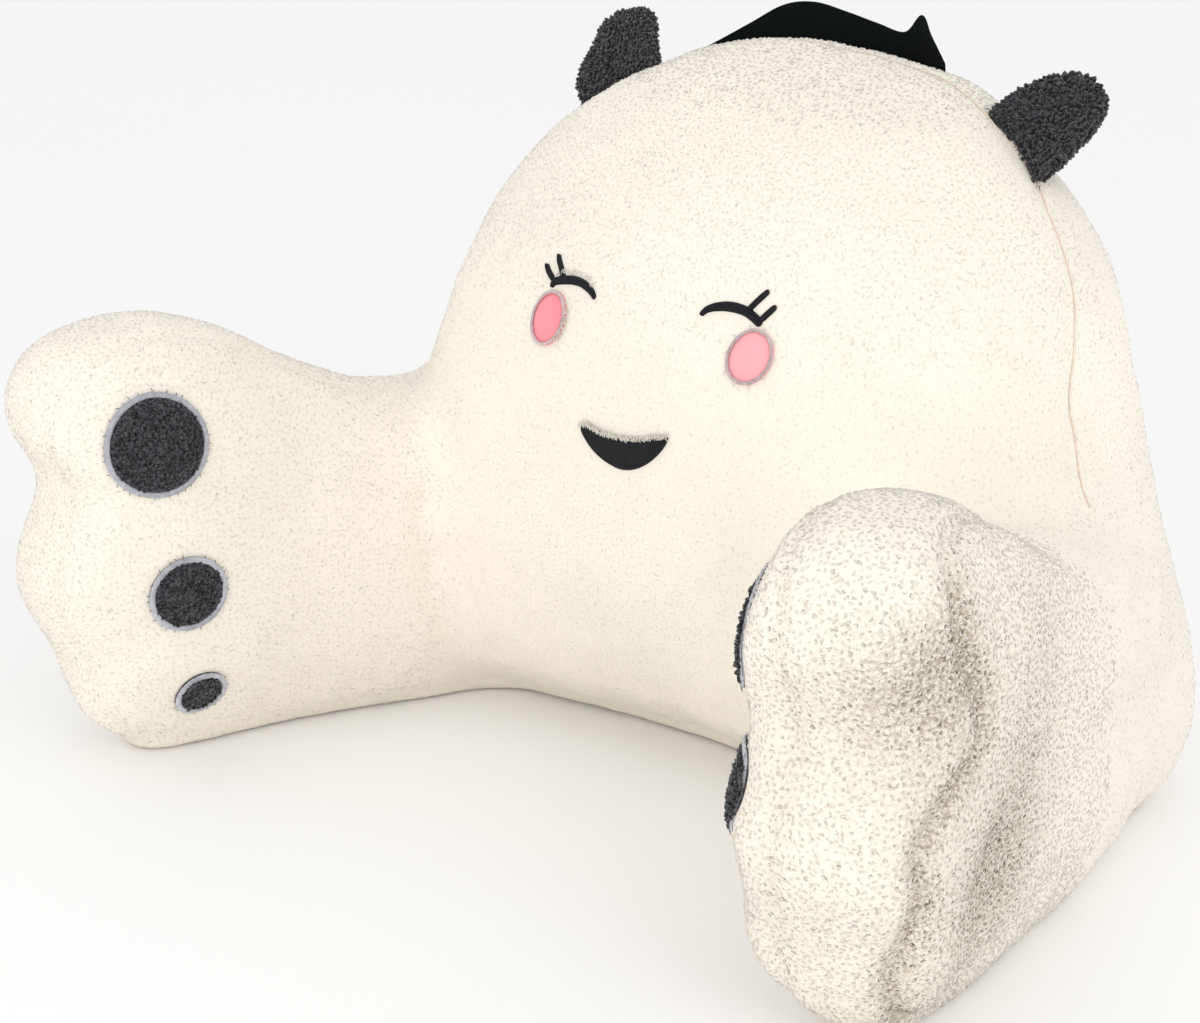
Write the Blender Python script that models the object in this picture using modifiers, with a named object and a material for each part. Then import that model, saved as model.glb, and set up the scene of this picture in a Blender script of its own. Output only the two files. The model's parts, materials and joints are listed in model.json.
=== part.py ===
"""Backrest pillow: a filled back cushion with two filled, paw-shaped arms, sewn-on ears,
round paw pads, two cheek patches and a webbing grab handle behind the top.

Metres, +Z up. The origin is the middle of the back cushion's flat underside. The front of
the pillow faces -Y, and the arms reach forward on either side of the sitter.
"""

import math
from typing import NamedTuple

import bmesh
import bpy
from mathutils import Matrix, Vector
from mathutils.bvhtree import BVHTree

# Driving dimensions.
FLOOR = 0.0
SEWN_GAP = 0.0003
PILLOW_HEIGHT = 0.479
TOP_Y = 0.018
SIDE_Y = -0.005
BACK_RING_POINTS = 26

ARM_ROOT = (0.240, -0.090)
ARM_SPLAY = math.radians(12.5)
ARM_CORE = ((-0.050, 0.100), (0.215, 0.150))
TUCK_HEIGHT = 0.080

EAR_INNER_CORNER = (0.132, 0.020, 0.452)
EAR_OUTER_CORNER = (0.191, -0.003, 0.413)
EAR_HALF_THICKNESS = 0.012
EAR_CUP = 0.013
EAR_CORE = ((-0.006, 0.020), (0.006, 0.030))

WEBBING_WIDTH = 0.038
WEBBING_THICKNESS = 0.002
WEBBING_STEPS = 2

PATCH_LIFT = 0.0012
PAD_THICKNESS = 0.0030
CHEEK_THICKNESS = 0.0015
PATCH_SIDES = 24
PATCH_RINGS = 5
CHEEK_RADII = (0.0165, 0.0180)


class Side(NamedTuple):
    """One side of the pillow. The two differ a little, as sewn and stuffed things do.

    arm_rise is how much taller than drawn the arm is stuffed. The ear's tip (x, y, z) and the
    cheek's centre (x, z) are places on the right-hand side, to be mirrored for the left.
    """

    name: str
    sign: int
    arm_rise: float
    ear_tip: tuple
    cheek: tuple


class BackRow(NamedTuple):
    """One level outline of the back cushion. Rows below the floor are cut off flat.

    The crowns are superellipse powers, and corner is how far the stuffing fills the front
    forward on either side of its middle, where the arms are sewn on.
    """

    height: float
    half_width: float
    front: float
    rear: float
    front_crown: float
    rear_crown: float
    corner: float


class ArmPoint(NamedTuple):
    """A point of the paw-shaped side panel: along the arm from its root, and up."""

    along: float
    height: float


class ArmRow(NamedTuple):
    """How far the arm swells from its middle plane, towards the sitter and away.

    The tucks are the shares of that swell that are lost at the floor, where the arm rounds under.
    """

    along: float
    inner: float
    outer: float
    inner_tuck: float
    outer_tuck: float


class EarPoint(NamedTuple):
    """A point of half the ear's outline, as shares of its half width and its height."""

    across: float
    up: float


class EdgeRow(NamedTuple):
    """How a stuffed panel rounds over: share of the way in from its seam, share of its thickness."""

    inset: float
    thickness: float


class StrapRow(NamedTuple):
    """One station of the handle: its centre, and how far its upper edge leans to the rear and right."""

    x: float
    y: float
    z: float
    lean: float
    sideways: float


class PawPad(NamedTuple):
    """A round patch on an arm's inner face: its centre along the arm and up, and its two radii."""

    name: str
    along: float
    height: float
    radius_along: float
    radius_up: float


SIDES = (
    Side("left", -1, 0.993, (0.206, 0.047, 0.483), (0.079, 0.311)),
    Side("right", 1, 1.020, (0.200, 0.051, 0.473), (0.084, 0.315)),
)

BACK_ROWS = (
    BackRow(-0.014, 0.280, -0.078, 0.096, 2.3, 3.0, 0.053),
    BackRow(0.016, 0.312, -0.112, 0.124, 2.3, 3.0, 0.060),
    BackRow(0.060, 0.322, -0.146, 0.133, 2.3, 2.9, 0.054),
    BackRow(0.120, 0.314, -0.174, 0.133, 2.3, 2.7, 0.041),
    BackRow(0.180, 0.294, -0.191, 0.128, 2.25, 2.5, 0.026),
    BackRow(0.240, 0.274, -0.197, 0.120, 2.2, 2.4, 0.011),
    BackRow(0.300, 0.262, -0.187, 0.112, 2.2, 2.35, 0.000),
    BackRow(0.350, 0.242, -0.161, 0.105, 2.1, 2.4, 0.000),
    BackRow(0.395, 0.212, -0.122, 0.099, 2.1, 2.5, 0.000),
    BackRow(0.430, 0.174, -0.082, 0.088, 2.1, 2.5, 0.000),
    BackRow(0.457, 0.125, -0.042, 0.073, 2.1, 2.4, 0.000),
    BackRow(0.474, 0.067, -0.010, 0.053, 2.0, 2.2, 0.000),
)

# Clockwise from the top of the arm's root: wrist, top toe, middle toe, lower toe, underside.
ARM_OUTLINE = (
    ArmPoint(-0.150, 0.165),
    ArmPoint(-0.080, 0.207),
    ArmPoint(0.000, 0.219),
    ArmPoint(0.060, 0.230),
    ArmPoint(0.112, 0.251),
    ArmPoint(0.165, 0.283),
    ArmPoint(0.214, 0.308),
    ArmPoint(0.264, 0.318),
    ArmPoint(0.308, 0.310),
    ArmPoint(0.338, 0.287),
    ArmPoint(0.349, 0.258),
    ArmPoint(0.339, 0.230),
    ArmPoint(0.321, 0.206),
    ArmPoint(0.331, 0.181),
    ArmPoint(0.346, 0.155),
    ArmPoint(0.350, 0.129),
    ArmPoint(0.341, 0.103),
    ArmPoint(0.322, 0.081),
    ArmPoint(0.320, 0.056),
    ArmPoint(0.307, 0.028),
    ArmPoint(0.278, 0.003),
    ArmPoint(0.235, -0.008),
    ArmPoint(0.175, -0.009),
    ArmPoint(0.100, -0.010),
    ArmPoint(0.020, -0.014),
    ArmPoint(-0.070, -0.014),
    ArmPoint(-0.150, 0.006),
    ArmPoint(-0.190, 0.050),
    ArmPoint(-0.195, 0.110),
)

# From behind the back cushion to the toes.
ARM_ROWS = (
    ArmRow(-0.195, 0.110, 0.082, 0.00, 0.00),
    ArmRow(0.030, 0.108, 0.090, 0.05, 0.00),
    ArmRow(0.080, 0.094, 0.088, 0.25, 0.00),
    ArmRow(0.140, 0.076, 0.079, 0.42, 0.05),
    ArmRow(0.220, 0.068, 0.070, 0.45, 0.22),
    ArmRow(0.350, 0.067, 0.067, 0.45, 0.40),
)

EAR_OUTLINE = (
    EarPoint(0.0, 1.00),
    EarPoint(0.42, 0.94),
    EarPoint(0.78, 0.76),
    EarPoint(0.98, 0.48),
    EarPoint(0.98, 0.20),
    EarPoint(0.90, -0.06),
    EarPoint(0.80, -0.24),
    EarPoint(0.0, -0.28),
)

ARM_EDGE = (
    EdgeRow(0.000, 0.00),
    EdgeRow(0.025, 0.42),
    EdgeRow(0.110, 0.74),
    EdgeRow(0.280, 0.93),
    EdgeRow(0.560, 1.00),
    EdgeRow(0.800, 1.01),
)
EAR_EDGE = (
    EdgeRow(0.000, 0.00),
    EdgeRow(0.040, 0.45),
    EdgeRow(0.220, 0.85),
    EdgeRow(0.700, 1.00),
)

STRAP_ROWS = (
    StrapRow(-0.126, 0.058, 0.437, -0.15, 0.00),
    StrapRow(-0.110, 0.068, 0.448, -0.05, 0.00),
    StrapRow(-0.092, 0.075, 0.459, 0.00, -0.08),
    StrapRow(-0.068, 0.079, 0.473, 0.06, -0.10),
    StrapRow(-0.046, 0.081, 0.477, 0.10, 0.00),
    StrapRow(-0.020, 0.081, 0.473, 0.12, 0.04),
    StrapRow(0.008, 0.079, 0.468, 0.12, 0.00),
    StrapRow(0.032, 0.076, 0.465, 0.04, 0.08),
    StrapRow(0.047, 0.072, 0.478, -0.08, 0.16),
    StrapRow(0.062, 0.065, 0.469, -0.16, 0.05),
    StrapRow(0.080, 0.057, 0.452, -0.20, 0.00),
)

PAW_PADS = {
    "left": (
        PawPad("large", 0.278, 0.240, 0.0365, 0.0360),
        PawPad("middle", 0.262, 0.132, 0.0280, 0.0265),
        PawPad("small", 0.253, 0.056, 0.0185, 0.0165),
    ),
    "right": (
        PawPad("large", 0.290, 0.244, 0.0365, 0.0360),
        PawPad("middle", 0.300, 0.155, 0.0280, 0.0265),
        PawPad("small", 0.276, 0.080, 0.0185, 0.0165),
    ),
}

FINISHES = {
    "cream_fleece": ((0.90, 0.86, 0.76), 0.95),
    "charcoal_fleece": ((0.075, 0.075, 0.085), 0.95),
    "black_webbing": ((0.012, 0.013, 0.016), 0.70),
    "pink_patch": ((0.90, 0.36, 0.42), 0.80),
}


def clear_scene():
    for old in list(bpy.data.objects):
        bpy.data.objects.remove(old)


def new_collection(name):
    collection = bpy.data.collections.new(name)
    bpy.context.scene.collection.children.link(collection)
    return collection


def new_finish(piece_name, finish):
    """A material of its own for each piece, from the finish's colour and roughness."""
    colour, roughness = FINISHES[finish]
    material = bpy.data.materials.new(f"{piece_name}_{finish}")
    material.use_nodes = True
    shader = material.node_tree.nodes["Principled BSDF"]
    shader.inputs["Base Color"].default_value = (*colour, 1.0)
    shader.inputs["Roughness"].default_value = roughness
    shader.inputs["Metallic"].default_value = 0.0
    return material


def new_piece(name, shape, collection, finish=None):
    """An object from a bmesh, with its faces pointing out and shaded smooth."""
    bmesh.ops.recalc_face_normals(shape, faces=shape.faces)
    mesh = bpy.data.meshes.new(name)
    shape.to_mesh(mesh)
    shape.free()
    mesh.shade_smooth()
    piece = bpy.data.objects.new(name, mesh)
    collection.objects.link(piece)
    if finish:
        mesh.materials.append(new_finish(name, finish))
    return piece


def smoothed(piece):
    """Rounds a coarse cage off by one level of subdivision, and keeps the result as its mesh."""
    rounding = piece.modifiers.new("rounding", "SUBSURF")
    rounding.levels = rounding.render_levels = 1
    bpy.context.view_layer.update()
    graph = bpy.context.evaluated_depsgraph_get()
    piece.data = bpy.data.meshes.new_from_object(piece.evaluated_get(graph))
    piece.modifiers.clear()
    return piece


def flattened_below(piece, height):
    """Cuts a cushion off flat where it stands, closes the cut level, and leaves it in triangles."""
    shape = bmesh.new()
    shape.from_mesh(piece.data)
    bmesh.ops.triangulate(shape, faces=shape.faces)
    everything = shape.verts[:] + shape.edges[:] + shape.faces[:]
    bmesh.ops.bisect_plane(
        shape,
        geom=everything,
        plane_co=(0, 0, height),
        plane_no=(0, 0, 1),
        clear_inner=True,
    )
    rim = [edge for edge in shape.edges if edge.is_boundary]
    bmesh.ops.edgeloop_fill(shape, edges=rim)
    bmesh.ops.triangulate(shape, faces=shape.faces)
    bmesh.ops.recalc_face_normals(shape, faces=shape.faces)
    shape.to_mesh(piece.data)
    shape.free()
    return piece


def bridge(shape, first, second):
    """Quads between two rings with the same number of points."""
    count = len(first)
    for i in range(count):
        j = (i + 1) % count
        shape.faces.new((first[i], first[j], second[j], second[i]))


def power(value, exponent):
    return math.copysign(abs(value) ** exponent, value)


def back_ring(row):
    """A level outline of the back: crowned to the front, flatter to the rear."""
    points = []
    for i in range(BACK_RING_POINTS):
        turn = 2 * math.pi * i / BACK_RING_POINTS
        across, depth = math.cos(turn), math.sin(turn)
        crown = row.front_crown if depth < 0 else row.rear_crown
        reach = SIDE_Y - row.front if depth < 0 else row.rear - SIDE_Y
        x = row.half_width * power(across, 2 / crown)
        y = SIDE_Y + reach * power(depth, 2 / crown)
        if depth < 0:
            y -= row.corner * (2 * across * depth) ** 2
        points.append((x, y, row.height))
    return points


def back_cushion(collection):
    shape = bmesh.new()
    rings = [[shape.verts.new(p) for p in back_ring(row)] for row in BACK_ROWS]
    for lower, upper in zip(rings, rings[1:]):
        bridge(shape, lower, upper)
    shape.faces.new(rings[0][::-1])
    top = shape.verts.new((0, TOP_Y, PILLOW_HEIGHT))
    last = rings[-1]
    for i, vert in enumerate(last):
        shape.faces.new((vert, last[(i + 1) % len(last)], top))
    piece = new_piece("back_cushion", shape, collection, "cream_fleece")
    return flattened_below(smoothed(piece), FLOOR)


def nearest_on_core(point, core):
    start, end = Vector(core[0]), Vector(core[1])
    line = end - start
    share = (Vector(point) - start).dot(line) / line.length_squared
    return start + line * max(0.0, min(1.0, share))


def stuffed_panel(outline, core, edge, place):
    """A filled form between two panels of one outline, sewn together round the edge.

    Rings run in from the seam towards the core on both faces. place(p, face, share) gives
    the world position of outline point p on face -1 or +1 at a share of the thickness.
    """
    shape = bmesh.new()
    cores = [nearest_on_core(p, core) for p in outline]

    def ring(row, face):
        spots = [Vector(p).lerp(c, row.inset) for p, c in zip(outline, cores)]
        return [shape.verts.new(place(s, face, row.thickness)) for s in spots]

    seam = ring(edge[0], 1)
    for face in (-1, 1):
        rings = [seam] + [ring(row, face) for row in edge[1:]]
        for outer, inner in zip(rings, rings[1:]):
            bridge(shape, outer, inner)
        shape.faces.new(rings[-1])
    return shape


def arm_axes(side):
    """The arm's root on the floor, its forward direction and its outward direction."""
    root = Vector((side.sign * ARM_ROOT[0], ARM_ROOT[1], 0))
    forward = Vector((side.sign * math.sin(ARM_SPLAY), -math.cos(ARM_SPLAY), 0))
    outward = Vector((side.sign * math.cos(ARM_SPLAY), math.sin(ARM_SPLAY), 0))
    return root, forward, outward


def arm_row(along):
    """ARM_ROWS at any place along the arm."""
    for row, after in zip(ARM_ROWS, ARM_ROWS[1:]):
        if along <= after.along:
            break
    share = max(0.0, min(1.0, (along - row.along) / (after.along - row.along)))
    return ArmRow(*(a + (b - a) * share for a, b in zip(row, after)))


def arm_cushion(side, collection):
    root, forward, outward = arm_axes(side)

    def place(spot, face, share):
        row = arm_row(spot.x)
        half, tuck = (row.outer, row.outer_tuck) if face > 0 else (row.inner, row.inner_tuck)
        near_floor = max(0.0, min(1.0, 1 - spot.y / TUCK_HEIGHT))
        half *= 1 - tuck * near_floor**2
        aside = outward * (face * half * share)
        return root + forward * spot.x + aside + Vector((0, 0, spot.y))

    outline = [(p.along, p.height * side.arm_rise) for p in ARM_OUTLINE]
    shape = stuffed_panel(outline, ARM_CORE, ARM_EDGE, place)
    piece = new_piece(f"arm_{side.name}", shape, collection, "cream_fleece")
    return flattened_below(smoothed(piece), FLOOR)


def ear(side, collection):
    """A cupped flap between its two corners on the seam and its tip."""
    inner, outer, tip = (
        Vector((side.sign * x, y, z))
        for x, y, z in (EAR_INNER_CORNER, EAR_OUTER_CORNER, side.ear_tip)
    )
    base = (inner + outer) / 2
    across = side.sign * (outer - inner).normalized()
    up = tip - base
    up -= across * up.dot(across)
    height = up.length
    up.normalize()
    front = across.cross(up)
    half_width = (outer - inner).length / 2
    half = [(p.across * half_width, p.up * height) for p in EAR_OUTLINE]
    outline = half + [(-x, y) for x, y in half[-2:0:-1]]

    def place(spot, face, share):
        hollow = EAR_CUP * (1 - (spot.x / half_width) ** 2)
        depth = face * EAR_HALF_THICKNESS * share - hollow
        return base + across * spot.x + up * spot.y + front * depth

    shape = stuffed_panel(outline, EAR_CORE, EAR_EDGE, place)
    piece = new_piece(f"ear_{side.name}", shape, collection, "charcoal_fleece")
    return smoothed(piece)


def grown_cutter(piece, collection):
    """A copy of a piece, larger all round by the gap of a sewn join, for cutting its neighbours."""
    cutter = bpy.data.objects.new(f"cutter_{piece.name}", piece.data.copy())
    collection.objects.link(cutter)
    grow = cutter.modifiers.new("grow", "DISPLACE")
    grow.strength = SEWN_GAP
    grow.mid_level = 0.0
    cutter.hide_render = True
    cutter.display_type = "WIRE"
    return cutter


def fit_against(piece, cutter):
    """Shapes a piece to the one that it is sewn to."""
    piece.modifiers.new("triangles", "TRIANGULATE")
    cut = piece.modifiers.new(f"fit_{cutter.name}", "BOOLEAN")
    cut.operation = "DIFFERENCE"
    cut.solver = "EXACT"
    cut.object = cutter


def surface_of(piece):
    graph = bpy.context.evaluated_depsgraph_get()
    return BVHTree.FromObject(piece.evaluated_get(graph), graph)


def patch(name, centre, axes, radii, toward, surface, thickness, finish, collection):
    """A thin sewn-on patch that follows the cushion under it.

    axes are the patch's two directions, and toward is the way it is pressed on.
    """
    shape = bmesh.new()

    def laid(across, up):
        start = centre + axes[0] * across + axes[1] * up - toward * 0.2
        spot, normal, _, _ = surface.ray_cast(start, toward)
        return shape.verts.new(spot + normal * PATCH_LIFT)

    middle = laid(0, 0)
    inner = None
    for ring in range(1, PATCH_RINGS + 1):
        share = ring / PATCH_RINGS
        verts = []
        for i in range(PATCH_SIDES):
            turn = 2 * math.pi * i / PATCH_SIDES
            across = radii[0] * share * math.cos(turn)
            up = radii[1] * share * math.sin(turn)
            verts.append(laid(across, up))
        if inner:
            bridge(shape, inner, verts)
        else:
            for i, vert in enumerate(verts):
                shape.faces.new((vert, verts[(i + 1) % PATCH_SIDES], middle))
        inner = verts
    bmesh.ops.recalc_face_normals(shape, faces=shape.faces)
    if sum((f.normal for f in shape.faces), Vector()).dot(toward) > 0:
        bmesh.ops.reverse_faces(shape, faces=shape.faces)
    mesh = bpy.data.meshes.new(name)
    shape.to_mesh(mesh)
    shape.free()
    mesh.shade_smooth()
    mesh.materials.append(new_finish(name, finish))
    piece = bpy.data.objects.new(name, mesh)
    collection.objects.link(piece)
    depth = piece.modifiers.new("thickness", "SOLIDIFY")
    depth.thickness = thickness
    depth.offset = 1.0
    return piece


def paw_pads(side, arm, collection):
    root, forward, outward = arm_axes(side)
    surface = surface_of(arm)
    for pad in PAW_PADS[side.name]:
        centre = root + forward * pad.along + Vector((0, 0, pad.height))
        patch(
            f"pad_{side.name}_{pad.name}",
            centre,
            (forward, Vector((0, 0, 1))),
            (pad.radius_along, pad.radius_up),
            outward,
            surface,
            PAD_THICKNESS,
            "charcoal_fleece",
            collection,
        )


def cheek(side, surface, collection):
    centre = Vector((side.sign * side.cheek[0], SIDE_Y, side.cheek[1]))
    patch(
        f"cheek_{side.name}",
        centre - Vector((0, 0.15, 0)),
        (Vector((1, 0, 0)), Vector((0, 0, 1))),
        CHEEK_RADII,
        Vector((0, 1, 0)),
        surface,
        CHEEK_THICKNESS,
        "pink_patch",
        collection,
    )


def handle_strap(collection):
    """The webbing stands on edge, so its flat faces look forward and to the rear."""
    shape = bmesh.new()
    rows = []
    for row in STRAP_ROWS:
        edge = Vector((row.sideways, row.lean, 1)).normalized()
        centre = Vector((row.x, row.y, row.z))
        steps = [i / WEBBING_STEPS - 0.5 for i in range(WEBBING_STEPS + 1)]
        rows.append([shape.verts.new(centre + edge * (s * WEBBING_WIDTH)) for s in steps])
    for first, second in zip(rows, rows[1:]):
        for i in range(WEBBING_STEPS):
            shape.faces.new((first[i], second[i], second[i + 1], first[i + 1]))
    piece = new_piece("handle_strap", shape, collection, "black_webbing")
    piece = smoothed(piece)
    depth = piece.modifiers.new("thickness", "SOLIDIFY")
    depth.thickness = WEBBING_THICKNESS
    depth.offset = 0.0
    return piece


def build():
    clear_scene()
    pillow = new_collection("backrest_pillow")
    cutters = new_collection("cutters")
    back = back_cushion(pillow)
    back_cutter = grown_cutter(back, cutters)
    front = surface_of(back)
    for side in SIDES:
        arm = arm_cushion(side, pillow)
        paw_pads(side, arm, pillow)
        fit_against(arm, back_cutter)
        fit_against(ear(side, pillow), back_cutter)
        cheek(side, front, pillow)
    fit_against(handle_strap(pillow), back_cutter)


build()
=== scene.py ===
"""Backrest pillow in curly fleece, with two arms that end in paws, two ears and a webbing handle."""

import json
import math

import bmesh
import bpy
import numpy as np
from mathutils import Matrix, Vector, noise
from mathutils.bvhtree import BVHTree
from mathutils.kdtree import KDTree

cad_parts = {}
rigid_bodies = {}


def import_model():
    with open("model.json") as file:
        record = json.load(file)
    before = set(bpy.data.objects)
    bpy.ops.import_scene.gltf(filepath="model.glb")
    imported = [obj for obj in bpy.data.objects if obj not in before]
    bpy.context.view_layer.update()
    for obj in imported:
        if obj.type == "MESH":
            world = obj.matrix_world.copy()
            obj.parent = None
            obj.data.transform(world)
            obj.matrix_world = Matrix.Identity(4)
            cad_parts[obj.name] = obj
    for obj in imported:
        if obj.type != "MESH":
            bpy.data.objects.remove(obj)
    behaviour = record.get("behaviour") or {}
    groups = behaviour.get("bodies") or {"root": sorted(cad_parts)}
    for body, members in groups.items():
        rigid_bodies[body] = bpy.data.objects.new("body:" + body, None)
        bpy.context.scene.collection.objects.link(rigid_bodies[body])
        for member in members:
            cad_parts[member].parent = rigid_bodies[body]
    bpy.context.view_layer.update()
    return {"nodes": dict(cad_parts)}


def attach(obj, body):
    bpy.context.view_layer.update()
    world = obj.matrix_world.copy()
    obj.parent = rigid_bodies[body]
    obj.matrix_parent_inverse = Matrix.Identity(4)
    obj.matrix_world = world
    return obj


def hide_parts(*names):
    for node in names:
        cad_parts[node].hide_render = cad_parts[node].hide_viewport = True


bl_info = {
    "name": "Backrest pillow",
    "version": (1, 0, 0),
    "blender": (4, 5, 0),
    "location": "3D View > Sidebar > Pillow",
    "description": "Builds a plush backrest pillow with paw arms, ears and a handle on its packed solids",
    "category": "Object",
}

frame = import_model()

BODY = "root"

# The camera stands in front of the pillow's right arm and looks down at it.
CAMERA_PLACE = (0.949, -1.4021, 0.7502)
CAMERA_YAW = 38.5437
CAMERA_PITCH = 19.7037
CAMERA_ROLL = 0.66
CAMERA_LENS = 75.0

# The white studio and its soft lights: name, place, target, width, height, power, colour.
STUDIO_STRENGTH = 0.95
STUDIO_LIGHTS = (
    ("key_light", (0.0, -2.6, 0.50), (-0.05, -0.1, 0.12), 1.6, 0.9, 9.5, (1.0, 0.975, 0.93)),
    ("side_light", (1.9, -1.1, 1.25), (-0.1, -0.1, 0.2), 1.1, 1.1, 7.5, (0.98, 0.985, 0.99)),
)

# Each arm runs forward from its root and splays outwards.
ARM_ROOT = (0.240, -0.090)
ARM_SPLAY = math.radians(12.5)
SIDES = (("left", -1), ("right", 1))

WHITE = (1.0, 1.0, 1.0)

# The solids that the skin is sewn round, how thick its fabric is, and how far it stays off the floor.
CUSHIONS = ("back_cushion", "arm_left", "arm_right")
FABRIC = 0.0012
OFF_FLOOR = 0.0006

# The seam between the front panel and the gusset, from the ear down to the arm: x, y, z on the right half.
FRONT_SEAM = (
    (0.000, 0.030, 0.478), (0.060, 0.028, 0.474), (0.131, 0.020, 0.449), (0.165, 0.008, 0.432),
    (0.191, -0.004, 0.412), (0.216, -0.010, 0.383), (0.233, -0.033, 0.351), (0.253, -0.055, 0.294),
    (0.264, -0.068, 0.247), (0.270, -0.068, 0.2265),
)

# The seam between the gusset and the rear panel.
REAR_SEAM = (
    (0.000, 0.068, 0.474), (0.080, 0.064, 0.462), (0.150, 0.078, 0.430), (0.188, 0.088, 0.395),
    (0.216, 0.094, 0.350), (0.235, 0.100, 0.300), (0.247, 0.107, 0.240), (0.266, 0.114, 0.180),
    (0.285, 0.118, 0.120), (0.292, 0.118, 0.060), (0.282, 0.108, 0.008),
)

# The arm's two gusset seams: distance along the arm, outwards from its middle, and height.
ARM_OUTER_SEAM = (
    (0.150, 0.030, 0.275), (0.215, 0.034, 0.304), (0.269, 0.041, 0.307), (0.285, 0.049, 0.296),
    (0.291, 0.058, 0.275), (0.287, 0.064, 0.250), (0.274, 0.067, 0.218), (0.273, 0.067, 0.190),
    (0.290, 0.062, 0.180), (0.313, 0.057, 0.164), (0.324, 0.054, 0.147), (0.319, 0.055, 0.119),
    (0.314, 0.046, 0.092), (0.313, 0.037, 0.067), (0.300, 0.034, 0.040), (0.270, 0.034, 0.010),
)
ARM_INNER_SEAM = (
    (0.120, -0.040, 0.250), (0.180, -0.040, 0.290), (0.235, -0.036, 0.308), (0.290, -0.034, 0.306),
    (0.325, -0.030, 0.280), (0.338, -0.028, 0.250), (0.328, -0.022, 0.222), (0.318, -0.020, 0.206),
    (0.331, -0.022, 0.180), (0.341, -0.024, 0.155), (0.341, -0.028, 0.121), (0.326, -0.026, 0.095),
    (0.316, -0.026, 0.080), (0.314, -0.028, 0.056), (0.298, -0.032, 0.028), (0.268, -0.034, 0.006),
)

# Soft hollows of the stuffing: side, along, outward, height, depth, radius.
HOLLOWS = (
    (1, 0.318, 0.055, 0.238, 0.0080, 0.030),
    (1, 0.236, 0.070, 0.099, 0.0075, 0.038),
    (1, 0.160, 0.070, 0.190, 0.0030, 0.050),
    (-1, 0.300, 0.060, 0.205, 0.0045, 0.030),
    (-1, 0.220, 0.070, 0.080, 0.0045, 0.036),
)

# Soft swellings of the back: place, rise, radius.
SWELLS = (
    ((0.125, 0.070, 0.440), 0.0060, 0.045),
    ((0.098, 0.045, 0.462), 0.0070, 0.045),
    ((-0.030, 0.045, 0.476), 0.0050, 0.085),
    ((0.215, 0.080, 0.360), 0.0050, 0.060),
    ((-0.310, -0.415, 0.285), 0.0065, 0.045),
    ((0.268, -0.395, 0.060), 0.0050, 0.040),
    ((-0.288, -0.415, 0.032), 0.0100, 0.040),
)

# Paw pads on the arms' inner faces: side, name, distance along the arm, height, half length, half height.
PAW_PADS = (
    ("left", "large", 0.277, 0.239, 0.0354, 0.0342),
    ("left", "middle", 0.262, 0.134, 0.0278, 0.0260),
    ("left", "small", 0.249, 0.054, 0.0190, 0.0165),
    ("right", "large", 0.281, 0.242, 0.0354, 0.0342),
    ("right", "middle", 0.297, 0.155, 0.0278, 0.0260),
    ("right", "small", 0.254, 0.080, 0.0185, 0.0165),
)

# Where the right ear is sewn on: x, y, z.
EAR_BASE = ((0.131, 0.020, 0.449), (0.148, 0.013, 0.442), (0.167, 0.008, 0.4305), (0.191, -0.004, 0.412))

# Where each ear is shaped: ear, place, how far it moves, and the reach of that.
EAR_PULLS = (
    ("right", (0.186, 0.056, 0.470), (-0.0012, 0.0012, 0.0055), 0.020),
    ("right", (0.211, 0.039, 0.440), (-0.0055, -0.0036, 0.0018), 0.024),
    ("right", (0.202, 0.022, 0.423), (-0.0040, -0.0014, 0.0038), 0.016),
    ("left", (-0.216, 0.026, 0.452), (0.0085, 0.0048, 0.0008), 0.026),
    ("left", (-0.163, 0.048, 0.474), (0.0012, 0.0030, 0.0048), 0.016),
)

# Cheeks on the front panel: side, x, z, half width, half height.
CHEEKS = (
    ("left", -0.0785, 0.3110, 0.0150, 0.0172),
    ("right", 0.0838, 0.3146, 0.0152, 0.0166),
)

# Embroidered strokes of the eyes: x, z and half width, in metres.
EYE_STROKES = (
    ("eye_right", (
        (0.0416, 0.3334, 0.0016), (0.0443, 0.3369, 0.0021), (0.0492, 0.3392, 0.0025), (0.0559, 0.3406, 0.0028),
        (0.0618, 0.3409, 0.0029), (0.0665, 0.3406, 0.0028), (0.0719, 0.3397, 0.0027), (0.0772, 0.3377, 0.0026),
        (0.0814, 0.3356, 0.0025), (0.0848, 0.3336, 0.0022),
    )),
    ("lash_right_inner", (
        (0.0727, 0.3405, 0.0020), (0.0760, 0.3454, 0.0020), (0.0788, 0.3494, 0.0020), (0.0814, 0.3527, 0.0017),
    )),
    ("lash_right_outer", (
        (0.0832, 0.3360, 0.0020), (0.0864, 0.3403, 0.0021), (0.0885, 0.3432, 0.0020), (0.0900, 0.3450, 0.0016),
    )),
    ("eye_left", (
        (-0.0842, 0.3293, 0.0017), (-0.0835, 0.3325, 0.0022), (-0.0805, 0.3342, 0.0026),
        (-0.0767, 0.3352, 0.0027), (-0.0711, 0.3362, 0.0027), (-0.0653, 0.3368, 0.0027),
        (-0.0593, 0.3364, 0.0025), (-0.0536, 0.3349, 0.0024), (-0.0480, 0.3324, 0.0020),
        (-0.0440, 0.3294, 0.0015),
    )),
    ("lash_left_inner", (
        (-0.0765, 0.3365, 0.0019), (-0.0822, 0.3424, 0.0019), (-0.0857, 0.3456, 0.0018),
        (-0.0882, 0.3487, 0.0015),
    )),
    ("lash_left_outer", (
        (-0.0838, 0.3335, 0.0019), (-0.0905, 0.3370, 0.0019), (-0.0938, 0.3394, 0.0018),
        (-0.0960, 0.3414, 0.0014),
    )),
)

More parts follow.
